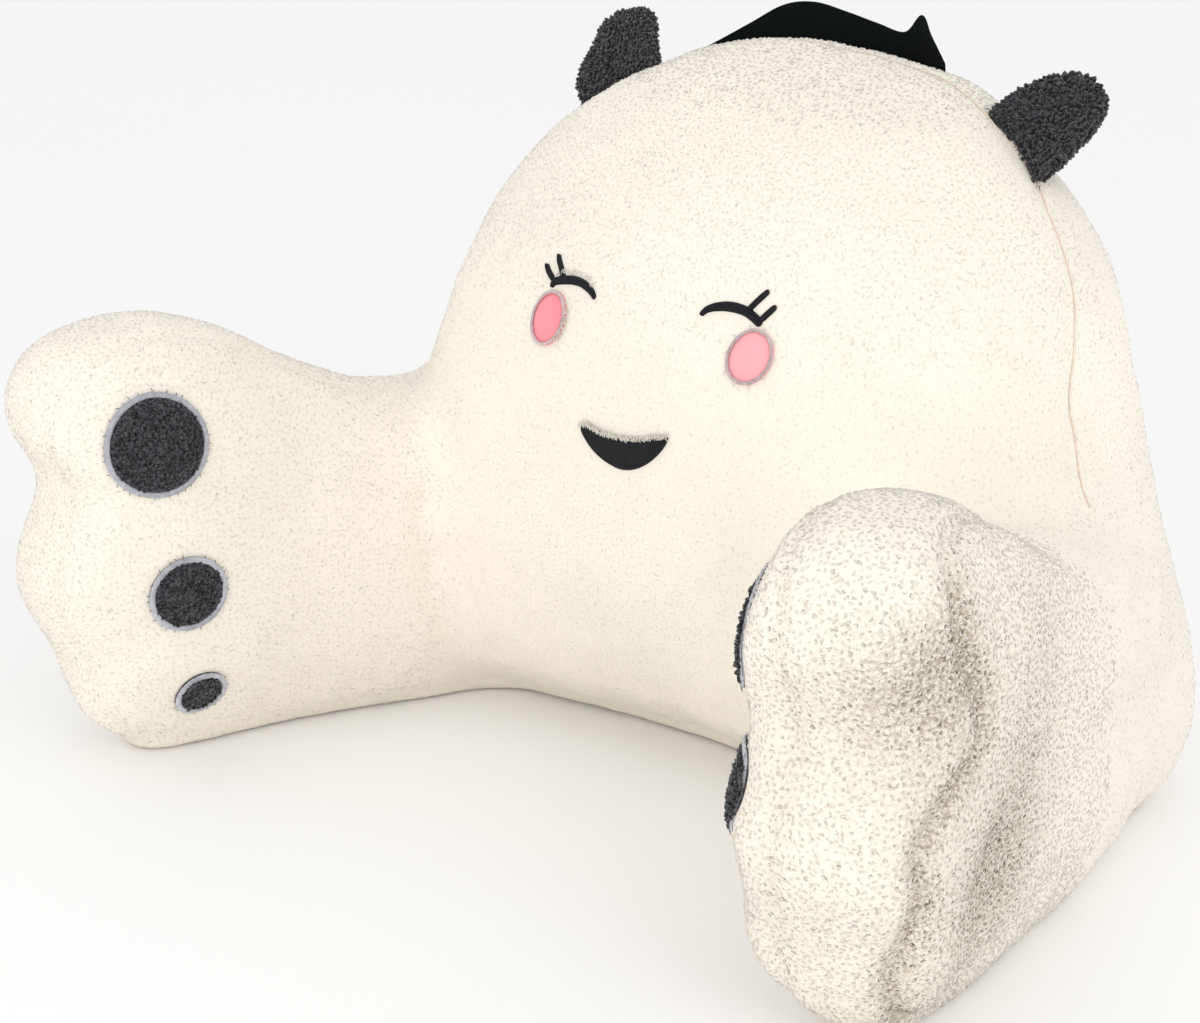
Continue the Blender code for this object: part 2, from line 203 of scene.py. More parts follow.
# The mouth's two edges, from its left corner to its right one: x, z.
MOUTH_UPPER = (
    (-0.0340, 0.2512), (-0.0292, 0.2524), (-0.0243, 0.2520), (-0.0190, 0.2508), (-0.0134, 0.2503),
    (-0.0007, 0.2503), (0.0125, 0.2514), (0.0241, 0.2542), (0.0304, 0.2560), (0.0376, 0.2576),
)
MOUTH_LOWER = (
    (-0.0340, 0.2500), (-0.0292, 0.2444), (-0.0244, 0.2396), (-0.0188, 0.2355), (-0.0124, 0.2322),
    (-0.0068, 0.2304), (0.0003, 0.2292), (0.0070, 0.2298), (0.0143, 0.2321), (0.0216, 0.2362), (0.0280, 0.2415),
    (0.0333, 0.2475), (0.0366, 0.2530), (0.0378, 0.2568),
)

# The handle's middle line: x, y, z, then how far the band leans back and turns sideways.
STRAP_ROWS = (
    (-0.126, 0.058, 0.437, -0.15, 0.00), (-0.110, 0.068, 0.448, -0.05, 0.00),
    (-0.092, 0.075, 0.459, 0.00, -0.08), (-0.068, 0.079, 0.473, 0.06, -0.10),
    (-0.046, 0.081, 0.477, 0.10, 0.00), (-0.020, 0.081, 0.473, 0.12, 0.04), (0.008, 0.079, 0.468, 0.12, 0.00),
    (0.032, 0.076, 0.465, 0.04, 0.08), (0.047, 0.072, 0.479, -0.08, 0.16), (0.062, 0.065, 0.468, -0.16, 0.05),
    (0.080, 0.057, 0.452, -0.20, 0.00),
)
STRAP_WIDTH = 0.038

# The band's section round its edge: share of its half width, and metres out of its middle.
STRAP_FACE = ((-1, 0.0004), (-0.97, 0.0009), (-0.5, 0.0009), (0, 0.0009), (0.5, 0.0009), (0.97, 0.0009), (1, 0.0004))
STRAP_SECTION = STRAP_FACE + tuple((share, -lift) for share, lift in reversed(STRAP_FACE))


def arm_axes(side):
    forward = Vector((side * math.sin(ARM_SPLAY), -math.cos(ARM_SPLAY), 0))
    outward = Vector((side * math.cos(ARM_SPLAY), math.sin(ARM_SPLAY), 0))
    return forward, outward


def arm_point(side, along, outward, height):
    forward, across = arm_axes(side)
    root = Vector((side * ARM_ROOT[0], ARM_ROOT[1], 0))
    return root + forward * along + across * outward + Vector((0, 0, height))


def arm_coordinates(points, side):
    """Each point's distance along the arm, outwards from its middle, and height."""
    forward, across = (np.array(axis) for axis in arm_axes(side))
    offset = points - np.array((side * ARM_ROOT[0], ARM_ROOT[1], 0.0))
    return offset @ forward, offset @ across, points[:, 2]


def ramp(values, start, end):
    share = np.clip((values - start) / (end - start), 0, 1)
    return share * share * (3 - 2 * share)


def spline(rows, step):
    """Rows of numbers read along a smooth curve through them, about step apart in their first two or three columns."""
    rows = np.array(rows, float)
    padded = np.vstack([2 * rows[0] - rows[1], rows, 2 * rows[-1] - rows[-2]])
    found = []
    for index in range(len(rows) - 1):
        a, b, c, d = padded[index : index + 4]
        count = max(2, int(math.ceil(np.linalg.norm((c - b)[:3]) / step)))
        for t in np.arange(count) / count:
            found.append(
                0.5 * (2 * b + (c - a) * t + (2 * a - 5 * b + 4 * c - d) * t**2 + (3 * b - a - 3 * c + d) * t**3)
            )
    found.append(rows[-1])
    return np.array(found)


def linked(name, mesh):
    obj = bpy.data.objects.new(name, mesh)
    bpy.context.scene.collection.objects.link(obj)
    return obj


def mesh_from(build, name):
    """Turns a bmesh into a mesh and frees it."""
    mesh = bpy.data.meshes.new(name)
    build.to_mesh(mesh)
    build.free()
    return mesh


def merged_copy(node, target):
    """Adds a CAD node's mesh to a bmesh, with its loose triangles joined up."""
    part = bmesh.new()
    part.from_mesh(frame["nodes"][node].data)
    bmesh.ops.remove_doubles(part, verts=part.verts, dist=1e-5)
    mesh = mesh_from(part, "part")
    target.from_mesh(mesh)
    bpy.data.meshes.remove(mesh)


def applied(obj):
    """Replaces an object's mesh by what its modifiers make of it."""
    graph = bpy.context.evaluated_depsgraph_get()
    mesh = bpy.data.meshes.new_from_object(obj.evaluated_get(graph), preserve_all_data_layers=True, depsgraph=graph)
    old = obj.data
    obj.modifiers.clear()
    obj.data = mesh
    mesh.name = obj.name
    bpy.data.meshes.remove(old)
    return obj


def remeshed(obj, face_size):
    """Joins an object's shells into one skin of even faces."""
    remesh = obj.modifiers.new("remesh", "REMESH")
    remesh.mode = "VOXEL"
    remesh.voxel_size = face_size
    remesh.use_smooth_shade = True
    return applied(obj)


def read(items, key, width=3, kind=np.float32):
    """One array of a mesh, a row for each item."""
    values = np.empty(len(items) * width, kind)
    items.foreach_get(key, values)
    return values.reshape(-1, width)


def points_of(mesh):
    return read(mesh.vertices, "co").astype(float)


def put_points(mesh, points):
    mesh.vertices.foreach_set("co", np.ascontiguousarray(points, np.float32).ravel())
    mesh.update()


def normals_of(mesh):
    return read(mesh.vertex_normals, "vector").astype(float)


def relaxed(points, mesh, weight, rounds):
    """Moves each point towards the middle of its neighbours, by its weight."""
    first, second = read(mesh.edges, "vertices", 2, np.int32).T
    ends = np.r_[first, second]
    count = np.bincount(ends, minlength=len(points))[:, None]
    weight = np.broadcast_to(weight, (len(points),))[:, None]
    for _ in range(rounds):
        across = np.r_[points[second], points[first]]
        total = np.stack([np.bincount(ends, column, len(points)) for column in across.T], axis=1)
        points = points + weight * 0.6 * (total / np.maximum(count, 1) - points)
    return points


def tree_of(mesh):
    build = bmesh.new()
    build.from_mesh(mesh)
    tree = BVHTree.FromBMesh(build)
    build.free()
    return tree


def smooth_shaded(mesh):
    mesh.polygons.foreach_set("use_smooth", [True] * len(mesh.polygons))


def turns(count, start=0.0):
    """The angles of count points round a circle."""
    return [math.tau * index / count + start for index in range(count)]


def beside(rows, index):
    """The rows before and after one, or itself at an end."""
    return rows[max(index - 1, 0)], rows[min(index + 1, len(rows) - 1)]


def lofted(name, rings):
    """A closed skin through rings of points, with a UV map in metres: along the rings, then round them."""
    build = bmesh.new()
    layer = build.loops.layers.uv.new("thread")
    rows = [[build.verts.new(point) for point in ring] for ring in rings]
    count = len(rings[0])
    steps = [0.0]
    for before, after in zip(rings, rings[1:]):
        steps.append(steps[-1] + (Vector(after[count // 3]) - Vector(before[count // 3])).length)
    around = [0.0]
    middle = rings[len(rings) // 2]
    for index in range(count):
        around.append(around[-1] + (Vector(middle[(index + 1) % count]) - Vector(middle[index])).length)
    for row in range(len(rings) - 1):
        for index in range(count):
            after = (index + 1) % count
            face = build.faces.new((rows[row][index], rows[row][after], rows[row + 1][after], rows[row + 1][index]))
            marks = ((row, index), (row, index + 1), (row + 1, index + 1), (row + 1, index))
            for loop, (r, i) in zip(face.loops, marks):
                loop[layer].uv = (steps[r], around[i])
    for row in (rows[0], rows[-1]):
        centre = build.verts.new(sum((vert.co for vert in row), Vector()) / count)
        for index in range(count):
            build.faces.new((row[index], row[(index + 1) % count], centre))
    bmesh.ops.recalc_face_normals(build, faces=build.faces)
    mesh = mesh_from(build, name)
    smooth_shaded(mesh)
    return linked(name, mesh)


def finished(obj, material, slot, *nodes):
    """Gives a finished piece its material and body, and the CAD nodes that it stands for. Its slot is not used."""
    obj.data.materials.clear()
    obj.data.materials.append(material)
    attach(obj, BODY)
    if nodes:
        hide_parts(*nodes)
    return obj


# Materials


def feed(tree, node, inputs):
    """Wires a node's inputs to sockets, or sets them to values."""
    for key, value in inputs.items():
        if isinstance(value, bpy.types.NodeSocket):
            tree.links.new(value, node.inputs[key])
        else:
            node.inputs[key].default_value = value
    return node


def add(tree, kind, inputs, **settings):
    node = tree.nodes.new(kind)
    for key, value in settings.items():
        setattr(node, key, value)
    return feed(tree, node, inputs)


def new_material(name):
    """A material with its node tree and its shader."""
    material = bpy.data.materials.get(name)
    if material:
        bpy.data.materials.remove(material)
    material = bpy.data.materials.new(name)
    material.use_nodes = True
    tree = material.node_tree
    tree.nodes.clear()
    shader = add(tree, "ShaderNodeBsdfPrincipled", {})
    add(tree, "ShaderNodeOutputMaterial", {"Surface": shader.outputs["BSDF"]})
    return material, tree, shader


def object_place(tree):
    return add(tree, "ShaderNodeTexCoord", {}).outputs["Object"]


def mixed(tree, kind, factor, first, second):
    """A colour mix of two sockets or colours."""
    inputs = {0: factor, 6: first, 7: second}
    return add(tree, "ShaderNodeMix", inputs, data_type="RGBA", blend_type=kind).outputs[2]


def noise_at(tree, vector, scale, detail=2.0, roughness=0.5, distortion=0.0, output="Fac"):
    inputs = {"Vector": vector, "Scale": scale, "Detail": detail, "Roughness": roughness, "Distortion": distortion}
    return add(tree, "ShaderNodeTexNoise", inputs).outputs[output]


def ranged(tree, value, low, high, out_low=0.0, out_high=1.0):
    inputs = {"Value": value, "From Min": low, "From Max": high, "To Min": out_low, "To Max": out_high}
    return add(tree, "ShaderNodeMapRange", inputs).outputs["Result"]


def scaled(colour, factor):
    return tuple(min(1.0, channel * factor) for channel in colour[:3]) + (1.0,)


def attribute_of(tree, name, output="Fac"):
    return add(tree, "ShaderNodeAttribute", {}, attribute_name=name).outputs[output]


def combined(tree, operation, first, second):
    """A calculation on two sockets or numbers, kept between 0 and 1."""
    return add(tree, "ShaderNodeMath", {0: first, 1: second}, operation=operation, use_clamp=True).outputs[0]


def vector_math(tree, operation, inputs):
    return add(tree, "ShaderNodeVectorMath", inputs, operation=operation).outputs["Vector"]


def bumped(tree, height, strength, distance, more=(), invert=False):
    """The normal of a surface that a pattern raises."""
    inputs = {"Height": height, "Strength": strength, "Distance": distance, **dict(more)}
    return add(tree, "ShaderNodeBump", inputs, invert=invert).outputs["Normal"]


def bands(tree, direction, pitch, distortion, detail):
    """Ribs across the piece's own UV map."""
    uv = add(tree, "ShaderNodeUVMap", {}, uv_map="thread").outputs["UV"]
    inputs = {"Vector": uv, "Scale": math.tau / (pitch * 20), "Distortion": distortion, "Detail": detail}
    return add(tree, "ShaderNodeTexWave", inputs, wave_type="BANDS", bands_direction=direction).outputs["Fac"]


def toned(tree, pattern, low, high, colour, darkest, lightest):
    """A colour that a pattern makes a little darker or lighter."""
    return mixed(tree, "MIX", ranged(tree, pattern, low, high), scaled(colour, darkest), scaled(colour, lightest))


def nubs(tree, place, scale):
    """Small round nubs, bent out of shape: how far each place is from its nub's middle."""
    shift = vector_math(tree, "SUBTRACT", {0: noise_at(tree, place, scale * 0.7, output="Color"), 1: (0.5, 0.5, 0.5)})
    bend = vector_math(tree, "SCALE", {0: shift, 3: 1.6 / scale})
    bent = vector_math(tree, "ADD", {0: place, 1: bend})
    return add(tree, "ShaderNodeTexVoronoi", {"Scale": scale, "Vector": bent}).outputs["Distance"]


def fleece(name, colour, painted_hollow_shade, scale, relief, spread, sheen, curled=None):
    """Nubbly fleece. An attribute of the skin says how strong its relief is and how much shade is painted between its
    nubs and in its hollows.

    curled is for the curls on the skin: how much of their shading is their own and not that of the skin under them, so
    that they lie in one soft surface. Each is a little lighter or darker than the next, and shade is painted on its low
    flanks.
    """
    material, tree, shader = new_material(name)
    place = object_place(tree)
    deep = attribute_of(tree, "deep")
    fibres = noise_at(tree, place, 1500.0, 2.0, 0.6, 0.8)
    nub = nubs(tree, place, scale)
    tint = toned(tree, noise_at(tree, place, 9.0, 3.0, 0.55), 0.35, 0.65, colour, 0.97, 1.02)
    # shadow is painted shade: darker away from each nub's middle, as far as the skin's attribute says.
    shadow = combined(tree, "MULTIPLY", ranged(tree, nub, 0.30, 0.80), deep)
    facing = {}
    if curled:
        lots = mixed(tree, "MIX", attribute_of(tree, "shade"), scaled(WHITE, 1 - spread), scaled(WHITE, 1.0))
        tint = mixed(tree, "MULTIPLY", 1.0, tint, lots)
        # sunk is painted shade on each curl's low flanks, as much as the skin's attribute says.
        sunk = combined(tree, "MULTIPLY", combined(tree, "SUBTRACT", 1.0, attribute_of(tree, "rise")), 0.8)
        shadow = combined(tree, "ADD", shadow, combined(tree, "MULTIPLY", sunk, deep))
        own = add(tree, "ShaderNodeNewGeometry", {}).outputs["Normal"]
        own = vector_math(tree, "SCALE", {0: own, 3: curled})
        blend = vector_math(tree, "ADD", {0: own, 1: attribute_of(tree, "skin_normal", "Vector")})
        facing = {"Normal": vector_math(tree, "NORMALIZE", {0: blend})}
    normal = bumped(tree, nub, ranged(tree, deep, 0.0, 1.0, 0.06, 0.9), relief, facing, invert=True)
    # The base colour turns to the painted shade colour as far as shadow says.
    feed(
        tree,
        shader,
        {
            "Base Color": mixed(tree, "MIX", shadow, tint, scaled(painted_hollow_shade, 1.0)),
            "Roughness": 0.9,
            "Specular IOR Level": 0.15,
            "Sheen Weight": sheen,
            "Sheen Roughness": 0.5,
            "Normal": bumped(tree, fibres, 0.35, 0.0004, {"Normal": normal}),
        },
    )
    return material


def thread_finish(name, colour, roughness, pitch, sheen):
    """Satin stitch: threads laid side by side, read from the piece's own UV map."""
    material, tree, shader = new_material(name)
    place = object_place(tree)
    inputs = {
        "Base Color": toned(tree, noise_at(tree, place, 260.0, 2.0, 0.6), 0.3, 0.7, colour, 0.86, 1.12),
        "Roughness": roughness,
        "Specular IOR Level": 0.25,
        "Sheen Weight": sheen,
        "Normal": bumped(tree, bands(tree, "X", pitch, 0.6, 1.0), 0.6, 0.00025),
    }
    feed(tree, shader, inputs)
    return material


def knit_finish(name, colour):
    """The cheeks' smooth brushed knit, a little paler towards the pillow's right."""
    material, tree, shader = new_material(name)
    place = object_place(tree)
    knit = noise_at(tree, place, 900.0, 2.0, 0.5, 0.6)
    tint = toned(tree, noise_at(tree, place, 60.0, 3.0, 0.6), 0.3, 0.7, colour, 0.95, 1.05)
    tint = mixed(tree, "MULTIPLY", ranged(tree, knit, 0.35, 0.5, 0.35, 0.0), tint, scaled((0.95, 0.80, 0.82), 1.0))
    parted = add(tree, "ShaderNodeSeparateXYZ", {0: place})
    # The colour turns paler towards the pillow's right.
    paler_rightwards = ranged(tree, parted.outputs["X"], -0.05, 0.05, 0.0, 0.20)
    inputs = {
        "Base Color": mixed(tree, "MIX", paler_rightwards, tint, scaled((1.0, 0.95, 0.95), 1.0)),
        "Roughness": 0.8,
        "Sheen Weight": 0.3,
        "Normal": bumped(tree, knit, 0.5, 0.0004),
    }
    feed(tree, shader, inputs)
    return material


def webbing_finish(name, colour):
    """Woven tape: ribs across it and fine yarns along it, from its UV map."""
    material, tree, shader = new_material(name)
    ribs, yarns = (bands(tree, direction, pitch, 0.3, 2.0) for direction, pitch in (("X", 0.0014), ("Y", 0.0009)))
    weave = combined(tree, "MULTIPLY", ribs, yarns)
    inputs = {
        "Base Color": mixed(tree, "MIX", weave, scaled(colour, 0.7), scaled(colour, 1.7)),
        "Roughness": 0.8,
        "Specular IOR Level": 0.1,
        "Normal": bumped(tree, weave, 0.7, 0.0003),
    }
    feed(tree, shader, inputs)
    return material


def floor_finish(name, colour):
    material, tree, shader = new_material(name)
    place = object_place(tree)
    tint = mixed(tree, "MIX", noise_at(tree, place, 1.2, 2.0, 0.5), scaled(colour, 0.99), scaled(colour, 1.0))
    feed(tree, shader, {"Base Color": tint, "Roughness": 0.9})
    return material


# Settings


def length_property(name, description, default, least, most):
    return bpy.props.FloatProperty(
        name=name, description=description, default=default, min=least, max=most, unit="LENGTH"
    )


class PillowSizes(bpy.types.PropertyGroup):
    pile: length_property("Pile height", "How far the curls stand out from the fabric", 0.0024, 0.001, 0.008)
    curl_spacing: length_property(
        "Curl spacing", "Least distance between two curls of the cream fleece", 0.0035, 0.003, 0.012
    )
    dark_spacing: length_property(
        "Dark curl spacing", "Least distance between two curls of the ears", 0.0027, 0.0015, 0.006
    )
    swell: length_property(
        "Swell", "Farthest that the stuffing pushes the skin out between its seams", 0.006, 0.0, 0.02
    )
    voxel: length_property("Skin mesh size", "Face size of the skin before its last subdivision", 0.0085, 0.006, 0.02)
    border: length_property("Pad border", "Width of the satin border round each paw pad", 0.0040, 0.002, 0.008)
    seed: bpy.props.IntProperty(name="Seed", description="Seed for where each curl lies", default=7, min=0)


def colour_property(name, description, default):
    return bpy.props.FloatVectorProperty(
        name=name, description=description, default=default, size=3, min=0.0, max=1.0, subtype="COLOR"
    )


class PillowColours(bpy.types.PropertyGroup):
    cream: colour_property("Cream fleece", "Colour of the back and the arms", (0.915, 0.862, 0.765))
    # The colour of the shade painted between the cream curls and in the fleece's hollows.
    painted_hollow_shade: colour_property("Fleece hollows", "Colour deep between the cream curls", (0.52, 0.45, 0.34))
    charcoal: colour_property("Charcoal fleece", "Colour of the ears and the paw pads", (0.098, 0.094, 0.110))
    pink: colour_property("Cheeks", "Colour of the cheeks", (0.94, 0.29, 0.34))
    pale_pink: colour_property("Cheek border", "Colour of the cheeks' border thread", (1.0, 0.80, 0.82))
    silver: colour_property("Silver thread", "Colour of the paw pads' border thread", (0.84, 0.84, 0.94))
    black: colour_property("Black thread", "Colour of the eyes and the mouth", (0.004, 0.004, 0.008))
    webbing: colour_property("Webbing", "Colour of the handle", (0.0015, 0.004, 0.0035))
    seam: colour_property("Seam", "Colour of the seam line", (0.86, 0.72, 0.62))


def sizes():
    return bpy.context.scene.pillow_sizes


def colours():
    return bpy.context.scene.pillow_colours


MADE = {}


def material(name):
    """One of the pillow's materials, made when it is first asked for."""
    if name not in MADE:
        tone = colours()
        makers = {
            # After its colour, each fleece gets the colour of the shade painted in its hollows.
            "cream_ground": lambda: fleece(name, tone.cream, tone.painted_hollow_shade, 430.0, 0.0022, 0.0, 0.2),
            "cream_curls": lambda: fleece(name, tone.cream, tone.painted_hollow_shade, 430.0, 0.0022, 0.04, 0.2, 0.15),
            "charcoal_ground": lambda: fleece(name, tone.charcoal, (0.006, 0.005, 0.008), 430.0, 0.0016, 0.0, 0.3),
            "charcoal_curls": lambda: fleece(name, tone.charcoal, (0.008, 0.007, 0.010), 520.0, 0.0016, 0.80, 0.4, 2.4),
            "cream_strands": lambda: thread_finish(name, tone.cream, 0.9, 0.0008, 0.2),
            "charcoal_strands": lambda: thread_finish(name, tone.charcoal, 0.9, 0.0008, 0.2),
            "black_thread": lambda: thread_finish(name, tone.black, 0.5, 0.0008, 0.0),
            "silver_thread": lambda: thread_finish(name, tone.silver, 0.35, 0.0006, 0.2),
            "pale_pink_thread": lambda: thread_finish(name, tone.pale_pink, 0.45, 0.0006, 0.2),
            "seam_thread": lambda: thread_finish(name, tone.seam, 0.8, 0.0030, 0.1),
            "pink_patch": lambda: knit_finish(name, tone.pink),
            "black_webbing": lambda: webbing_finish(name, tone.webbing),
        }
        MADE[name] = makers[name]()
    return MADE[name]


# Skin


def seam_lines():
    """Every seam: its kind, its groove's depth and width, and its points before they are laid on the skin."""
    lines = []
    for rows in (FRONT_SEAM, REAR_SEAM):
        right = spline(rows, 0.004)
        left = right[::-1] * (-1, 1, 1)
        lines.append(("gusset", 0.0024, 0.0060, np.vstack([left, right[1:]])))
    for _, side in SIDES:
        for rows, depth, width in ((ARM_OUTER_SEAM, 0.0075, 0.0075), (ARM_INNER_SEAM, 0.0030, 0.0060)):
            line = np.array([arm_point(side, *row) for row in spline(rows, 0.004)])
            lines.append(("arm", depth, width, line))
    return lines


def laid_on(points, tree):
    """The nearest places on the skin, with their normals."""
    places, normals = [], []
    for point in points:
        place, normal, _, _ = tree.find_nearest(Vector(point))
        places.append(place)
        normals.append(normal)
    return places, normals


def seam_places(kind, line, tree):
    """The places of a seam on the skin. One round the back comes from outside, to run evenly along the edge."""
    places, normals = laid_on(line, tree)
    if kind != "gusset":
        return places, normals
    for rounds, lift in ((30, 0.02), (20, 0.0)):
        even = np.hstack([places, normals])
        for _ in range(rounds):
            even[1:-1] = (even[:-2] + 2 * even[1:-1] + even[2:]) / 4
        places, normals = laid_on(even[:, :3] + lift * even[:, 3:], tree)
    return places, normals


def distance_to(points, targets):
    tree = KDTree(len(targets))
    for index, target in enumerate(targets):
        tree.insert(target, index)
    tree.balance()
    return np.array([tree.find(point)[2] for point in points])


def filled_out(obj, held, swell):
    """Lets air pressure push the skin out between the places that its seams hold, as stuffing does."""
    start = points_of(obj.data)
    group = obj.vertex_groups.new(name="held")
    for index in np.flatnonzero(held > 0.01):
        group.add([int(index)], float(held[index]), "REPLACE")
    cloth = obj.modifiers.new("fill", "CLOTH")
    cloth.settings.vertex_group_mass = "held"
    cloth.settings.use_pressure = True
    cloth.settings.uniform_pressure_force = 4.0
    cloth.settings.effector_weights.gravity = 0.0
    cloth.settings.quality = 4
    cloth.point_cache.frame_start = 1
    cloth.point_cache.frame_end = 20
    scene = bpy.context.scene
    for number in range(1, 21):
        scene.frame_set(number)
    graph = bpy.context.evaluated_depsgraph_get()
    moved = points_of(obj.evaluated_get(graph).data)
    obj.modifiers.clear()
    obj.vertex_groups.clear()
    scene.frame_set(1)
    step = moved - start
    length = np.linalg.norm(step, axis=1)[:, None]
    put_points(obj.data, start + step * np.minimum(1.0, swell / np.maximum(length, 1e-9)))


def away_from(points, place):
    return np.linalg.norm(points - np.array(place), axis=1)


def falling(away, reach):
    """A share of 1 at no distance that falls softly over a reach."""
    return np.exp(-((away / reach) ** 2))


def noise_of(points, scale, start=(0, 0, 0)):
    return np.array([noise.noise(Vector(point) * scale + Vector(start)) for point in points])


def shell():
    """One even skin round the back and the arms, its points, and how deep each is in the crease between them."""
    build = bmesh.new()
    for node in CUSHIONS:
        merged_copy(node, build)
    build.normal_update()
    for vert in build.verts:
        vert.co += vert.normal * FABRIC
    obj = remeshed(linked("plush_skin", mesh_from(build, "plush_skin")), sizes().voxel)
    mesh = obj.data
    points = points_of(mesh)
    trees = [BVHTree.FromPolygons(*polygons(node)) for node in CUSHIONS]
    to_back, *to_arms = (np.array([tree.find_nearest(Vector(point))[3] for point in points]) for tree in trees)
    joint = np.maximum(to_back, np.minimum(*to_arms))
    outer = np.zeros(len(points))
    for _, side in SIDES:
        along, outward, _ = arm_coordinates(points, side)
        outer = np.maximum(outer, ramp(outward, 0.005, 0.045) * ramp(along, 0.135, 0.060))
    normals = normals_of(mesh)
    flowing = relaxed(points, mesh, outer, 70)
    filled = np.einsum("ij,ij->i", flowing - points, normals)
    points = points + (flowing - points) * (filled > 0)[:, None]
    points = relaxed(points, mesh, 0.25 + 0.75 * outer, 3)
    put_points(mesh, points)
    return obj, points, (1 - ramp(joint, 0.006, 0.016)) * (1 - outer)


def stuffed(obj, points, crease, held_places):
    """Fills out the skin from a slack start, and takes it in by the pile that will cover it."""
    mesh, size = obj.data, sizes()
    near_seam = 1 - ramp(distance_to(points, held_places), 0.004, 0.016)
    base = 1 - ramp(points[:, 2], 0.004, 0.012)
    held = np.clip(np.maximum.reduce([near_seam, crease, base]), 0, 1)
    normals = normals_of(mesh)
    slack = points - normals * (size.swell * (1 - base))[:, None]
    put_points(mesh, slack)
    filled_out(obj, held, size.swell)
    plump = np.einsum("ij,ij->i", points_of(mesh) - slack, normals)
    plump = np.clip(plump - np.median(plump[held < 0.1]), -0.0020, 0.0020) * (1 - held)
    points = points + normals * (plump - size.pile * 0.75 - FABRIC)[:, None]
    put_points(mesh, relaxed(points, mesh, 0.25, 1))
    finer = obj.modifiers.new("finer", "SUBSURF")
    finer.levels = finer.render_levels = 1
    applied(obj)


def shaped(mesh, grooves):
    """Adds the soft unevenness, the hollows, the swellings and the grooves, and sets the skin on the floor."""
    points, normals = points_of(mesh), normals_of(mesh)
    shift = noise_of(points, 11.0) * 0.0022 + noise_of(points, 31.0, (4, 1, 7)) * 0.0011
    hollows = [(away_from(points, arm_point(*place)), depth, radius) for *place, depth, radius in HOLLOWS]
    for away, depth, radius in hollows:
        shift -= depth * falling(away, radius)
    for place, rise, radius in SWELLS:
        shift += rise * falling(away_from(points, place), radius)
    # How much more relief and painted shade the fleece gets in each groove and in each of the stuffing's hollows.
    dip_relief_and_shade = np.zeros(len(points))
    for depth, width, places in grooves:
        away = distance_to(points, places)
        shift -= depth * falling(away, width)
        dip_relief_and_shade += 38 * depth * falling(away, 1.6 * width)
    for away, depth, radius in hollows:
        dip_relief_and_shade += 45 * depth * falling(away, 1.5 * radius)
    points = points + normals * (shift * ramp(points[:, 2], 0.002, 0.02))[:, None]
    tuck = ramp(points[:, 1], -0.050, -0.115) * ramp(np.abs(points[:, 0]), 0.20, 0.14)
    points[:, 1] += 0.015 * tuck * (1 - ramp(points[:, 2], 0.0, 0.045))
    points[:, 2] -= (points[:, 2].min() - OFF_FLOOR) * (1 - ramp(points[:, 2], 0.0, 0.05))
    resting = ramp(-normals[:, 2], 0.60, 0.92) * (1 - ramp(points[:, 2], 0.006, 0.014))
    points[:, 2] += (OFF_FLOOR - points[:, 2]) * resting
    put_points(mesh, points)
    smooth_shaded(mesh)
    return points, normals, dip_relief_and_shade


def relief(points, normals, dip_relief_and_shade):
    """How strong the fleece's relief is and how much shade is painted on it: most in the grooves and hollows of the
    arms' outer faces, more on the right arm than the left, less on faces turned inwards or up, and a little more at the
    top of the back.
    """
    deep = 0.02 + 0.06 * ramp(points[:, 2], 0.34, 0.44)
    for _, side in SIDES:
        along, outward, _ = arm_coordinates(points, side)
        across = np.array(arm_axes(side)[1])
        arm = ramp(along, 0.10, 0.22) * (np.abs(outward) < 0.12)
        face = ramp(normals @ across, -0.75, 0.10) * (1 - 0.85 * ramp(normals[:, 2], 0.25, 0.85))
        deep += arm * (0.05 + face * (0.12 + 2.6 * dip_relief_and_shade if side > 0 else 0.04 + 0.8 * dip_relief_and_shade))
    return deep


def sewn_skin():
    """The back and both arms as one sewn and stuffed skin."""
    obj, points, crease = shell()
    tree = tree_of(obj.data)
    grooves = [(depth, width, seam_places(kind, line, tree)[0]) for kind, depth, width, line in seam_lines()]
    stuffed(obj, points, crease, [place for _, _, places in grooves for place in places])
    # The skin keeps how strong its relief and its painted shade are.
    mark(obj.data, "deep", relief(*shaped(obj.data, grooves)))
    return obj


def mark(mesh, name, values):
    """Stores one number for each point of a mesh."""
    layer = mesh.attributes.new(name, "FLOAT", "POINT")
    layer.data.foreach_set("value", np.ascontiguousarray(np.broadcast_to(values, (len(mesh.vertices),)), np.float32))


def polygons(node):
    mesh = frame["nodes"][node].data
    return [vert.co.copy() for vert in mesh.vertices], [list(face.vertices) for face in mesh.polygons]


class PILLOW_OT_skin(bpy.types.Operator):
    """Sews and stuffs the skin of the back and the two arms"""

    bl_idname = "pillow.skin"
    bl_label = "Stuffed skin"

    def execute(self, context):
        obj = sewn_skin()
        finished(obj, material("cream_ground"), "cream_fleece", *CUSHIONS)
        MADE["skin"] = obj
        MADE["skin_tree"] = tree_of(obj.data)
        return {"FINISHED"}


def on_front(x, z, lift=0.0):
    """The place on the front panel at x and z, lifted off it, with its normal."""
    place, normal, _, _ = MADE["skin_tree"].ray_cast(Vector((x, -0.6, z)), Vector((0, 1, 0)))
    if place is None:
        raise RuntimeError(f"nothing of the front panel is at {x}, {z}")
    return place + normal * lift, normal


# Stitches and borders


def new_tree(name, sockets, output):
    """A geometry node tree with its named inputs. Each socket is a name, a kind, and a default if it has one."""
    tree = bpy.data.node_groups.new(name, "GeometryNodeTree")
    for label, kind, *default in sockets:
        socket = tree.interface.new_socket(label, in_out="INPUT", socket_type="NodeSocket" + kind)
        if default:
            socket.default_value = default[0]
    tree.interface.new_socket(output, in_out="OUTPUT", socket_type="NodeSocketGeometry")
    return tree, add(tree, "NodeGroupInput", {}).outputs


